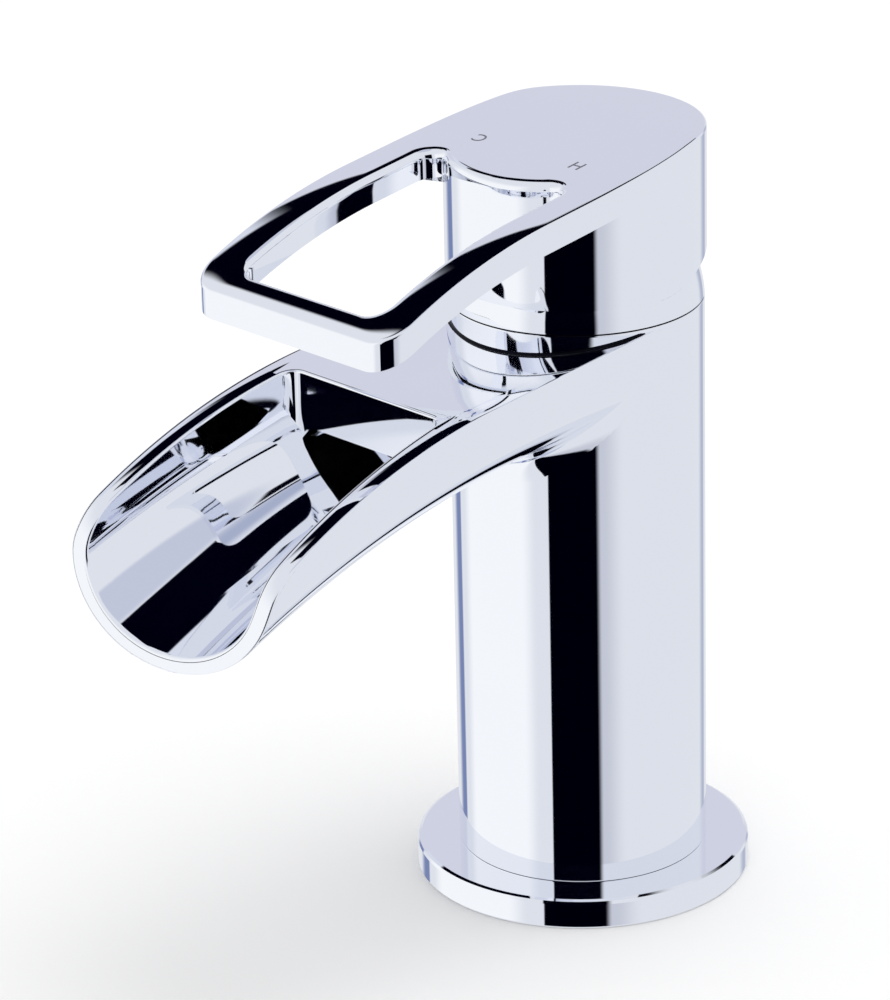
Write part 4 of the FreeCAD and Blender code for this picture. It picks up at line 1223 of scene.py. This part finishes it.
    def make_plug(self, dresser: Dresser) -> None:
        """Cap over the grub screw, at the back of the hub."""
        hole = Vector((0.0, 0.0, self.plug_level))
        face = self.hub + self.plug_proud
        profile = [(0.0, face), (self.plug_radius - 0.2, face),
                   (self.plug_radius - 0.06, face - 0.06), (self.plug_radius, face - 0.2),
                   (self.plug_radius, self.hub - 1.0), (0.0, self.hub - 1.0)]
        mesh = bmesh.new()
        verts = [mesh.verts.new(hole + Vector((radius, reach, 0.0)))
                 for radius, reach in profile]
        edges = [mesh.edges.new(pair) for pair in zip(verts, verts[1:])]
        bmesh.ops.spin(mesh, geom=verts + edges, cent=hole, axis=(0.0, 1.0, 0.0),
                       angle=math.tau, steps=72, use_merge=True, use_duplicate=False)
        bmesh.ops.remove_doubles(mesh, verts=mesh.verts, dist=0.004)
        bmesh.ops.dissolve_degenerate(mesh, edges=mesh.edges, dist=0.0005)
        bmesh.ops.recalc_face_normals(mesh, faces=mesh.faces)
        for vert in mesh.verts:
            vert.co[1] += math.sqrt(self.hub ** 2 - vert.co[0] ** 2) - self.hub
        bmesh.ops.scale(mesh, vec=Vector((MM, MM, MM)), verts=mesh.verts)
        for cap_face in mesh.faces:
            cap_face.smooth = True
        for edge in mesh.edges:
            edge.smooth = edge.calc_face_angle(0.0) < math.radians(50.0)
        cap = to_object(mesh, "plug_cap")
        cap.data.materials.append(dresser.material(SILVER))
        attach(cap, Body.LEVER.value)
        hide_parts("screw_plug")
        LOG.info("%s covers the grub screw", cap.name)

    def build(self, dresser: Dresser) -> None:
        """Build the casting, its two letters and the cap."""
        skin = Skin()
        self.make_top(skin)
        self.make_walls(skin)
        self.make_inside(skin)
        made = skin.finish("loop_lever", Body.LEVER, "chrome", dresser.material(CHROME))
        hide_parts("lever_handle")
        self.make_marks(dresser)
        self.make_plug(dresser)


@dataclass(frozen=True)
class Wall:
    """A tinted stretch of the studio's walls, seen in the faucet's polish."""

    tint: Colour
    azimuth: Tuple[float, float]
    elevation: Tuple[float, float]
    soft_start: float = 2.0
    soft_end: float = 2.0
    soft_rise: float = 2.0

    def mask(self, azimuth: Wire, elevation: Wire) -> Wire:
        """How much of the wall shows in a direction.

        Args:
            azimuth: Direction round the upright axis, in degrees.
            elevation: Direction above the horizon, in degrees.

        Returns:
            A value between 0 and 1.
        """
        first, last = self.azimuth
        low, high = self.elevation
        return (self.step(azimuth, first, self.soft_start)
                * self.step(-1.0 * azimuth, -last, self.soft_end)
                * self.step(elevation, low, self.soft_rise)
                * self.step(-1.0 * elevation, -high, self.soft_rise))

    @staticmethod
    def step(value: Wire, edge: float, soft: float) -> Wire:
        """Smooth step up about an edge."""
        node = value.bench.add("ShaderNodeMapRange", {"interpolation_type": "SMOOTHSTEP"}, {
            "Value": value, "From Min": edge - 0.5 * soft, "From Max": edge + 0.5 * soft})
        return value.bench.wire(node)


PALE = (0.79, 0.81, 0.85)
# In order: the light on the column's left, the grey and black of its bands, the
# two edges of the column, the grey behind the lever's rails, the ceiling over the
# trough, its two dark stretches and the light at the trough's rear.
WALLS = (
    Wall((0.99, 1.0, 1.0), (-168.0, -92.0), (-90.0, 30.0), 14.0, 16.0, 30.0),
    Wall((0.60, 0.62, 0.69), (-40.0, -14.0), (-90.0, 12.0), 2.0, 22.0, 10.0),
    Wall((0.0, 0.0, 0.003), (-73.0, -28.0), (-90.0, 33.0), 1.2, 5.0, 3.0),
    Wall((0.46, 0.50, 0.62), (100.0, 112.0), (-90.0, 14.0), 12.0, 6.0, 6.0),
    Wall((0.20, 0.25, 0.45), (164.0, 178.0), (-90.0, 10.0), 12.0, 3.0, 6.0),
    Wall((0.68, 0.69, 0.78), (100.0, 176.0), (14.0, 34.0), 20.0, 6.0, 6.0),
    Wall((0.58, 0.61, 0.72), (-190.0, 190.0), (74.0, 95.0), 1.0, 1.0, 5.0),
    Wall((0.0, 0.0, 0.004), (100.0, 173.0), (33.0, 73.0), 4.0, 4.0, 1.2),
    Wall((0.0, 0.0, 0.004), (150.0, 181.0), (50.0, 73.0), 4.0, 3.0, 1.2),
    Wall((0.72, 0.75, 0.84), (156.0, 180.0), (28.0, 38.4), 8.0, 4.0, 1.5),
)


@dataclass
class Studio:
    """Floor, surroundings, lamps and the camera."""

    lens: float = 176.69
    camera_at: Colour = (0.58180, -0.59060, 0.40275)
    camera_turn: Colour = (68.2446, 1.2446, 45.7534)
    floor_size: float = 6.0
    ambient: float = 0.8
    lamp_power: float = 15.0

    def build(self) -> None:
        """Build everything that isn't the faucet."""
        bpy.context.scene.view_settings.view_transform = "Standard"
        self.place_camera()
        self.make_world()
        self.make_floor()
        self.make_lamps()

    def place_camera(self) -> None:
        """Put the camera where the photograph was taken from."""
        data = bpy.data.cameras.new("view_camera")
        data.lens = self.lens
        data.sensor_width = 36.0
        data.clip_start = 0.01
        data.clip_end = 50.0
        camera = bpy.data.objects.new("view_camera", data)
        camera.location = self.camera_at
        camera.rotation_euler = Euler([math.radians(turn) for turn in self.camera_turn])
        bpy.context.scene.collection.objects.link(camera)
        bpy.context.scene.camera = camera

    def make_world(self) -> None:
        """White surroundings, with the studio's walls for the polish."""
        world = bpy.data.worlds.new("surroundings")
        world.use_nodes = True
        bpy.context.scene.world = world
        bench = Bench("surroundings", world.node_tree)
        path = bench.add("ShaderNodeLightPath", {}, {})
        seen = bench.wire(path, "Is Camera Ray")
        polish = bench.wire(path, "Is Glossy Ray")
        through = bench.wire(path, "Is Transmission Ray")
        parts = bench.add("ShaderNodeSeparateXYZ", {}, {0: bench.wire(
            bench.add("ShaderNodeTexCoord", {}, {}), "Generated")})
        east, north, rise = (bench.wire(parts, place) for place in range(3))
        azimuth = bench.maths("ARCTAN2", north, east) * math.degrees(1.0)
        elevation = bench.maths("ARCSINE", rise) * math.degrees(1.0)
        colour = None
        for wall in WALLS:
            under = colour if colour is not None else (*PALE, 1.0)
            colour = bench.wire(bench.add("ShaderNodeMix", {"data_type": "RGBA"}, {
                0: wall.mask(azimuth, elevation), 6: under, 7: (*wall.tint, 1.0)}), 2)
        shown = bench.wire(bench.add("ShaderNodeMix", {"data_type": "RGBA"}, {
            0: polish, 6: (1.0, 1.0, 1.0, 1.0), 7: colour}), 2)
        level = seen.maximum(polish).maximum(through) * (1.0 - self.ambient) + self.ambient
        glow = bench.add("ShaderNodeBackground", {}, {"Color": shown, "Strength": level})
        bench.add("ShaderNodeOutputWorld", {}, {"Surface": bench.wire(glow)})

    def make_floor(self) -> None:
        """Plain white floor that keeps the faucet's shadow."""
        mesh = bmesh.new()
        bmesh.ops.create_grid(mesh, x_segments=1, y_segments=1, size=self.floor_size)
        floor = to_object(mesh, "floor")
        bench = Bench("floor_white")
        shader = bench.add("ShaderNodeBsdfDiffuse", {}, {"Color": (1.0, 1.0, 1.0, 1.0)})
        floor.data.materials.append(bench.surface(shader))
        floor.visible_glossy = False

    def make_lamps(self) -> None:
        """Soft lamp overhead."""
        data = bpy.data.lights.new("soft_box", "AREA")
        data.energy = self.lamp_power
        data.size = 1.6
        lamp = bpy.data.objects.new("soft_box", data)
        lamp.location = (0.3, 0.3, 2.2)
        lamp.rotation_euler = Vector(lamp.location).to_track_quat("Z", "Y").to_euler()
        lamp.visible_glossy = False
        bpy.context.scene.collection.objects.link(lamp)


def to_object(mesh: bmesh.types.BMesh, name: str) -> bpy.types.Object:
    """Turn a bmesh into a linked object at the origin.

    Args:
        mesh: The bmesh, freed here.
        name: Name of the object and its mesh.

    Returns:
        The new object.
    """
    data = bpy.data.meshes.new(name)
    mesh.to_mesh(data)
    mesh.free()
    made = bpy.data.objects.new(name, data)
    bpy.context.scene.collection.objects.link(made)
    return made


def main() -> None:
    """Build the faucet's pieces in order, then the studio round them."""
    logging.basicConfig(level=logging.INFO, format="%(name)s: %(message)s")
    dresser = Dresser()
    dresser.dress_nodes()
    SpoutBody().build(dresser)
    LoopLever().build(dresser)
    Studio().build()


if __name__ == "__main__":
    main()
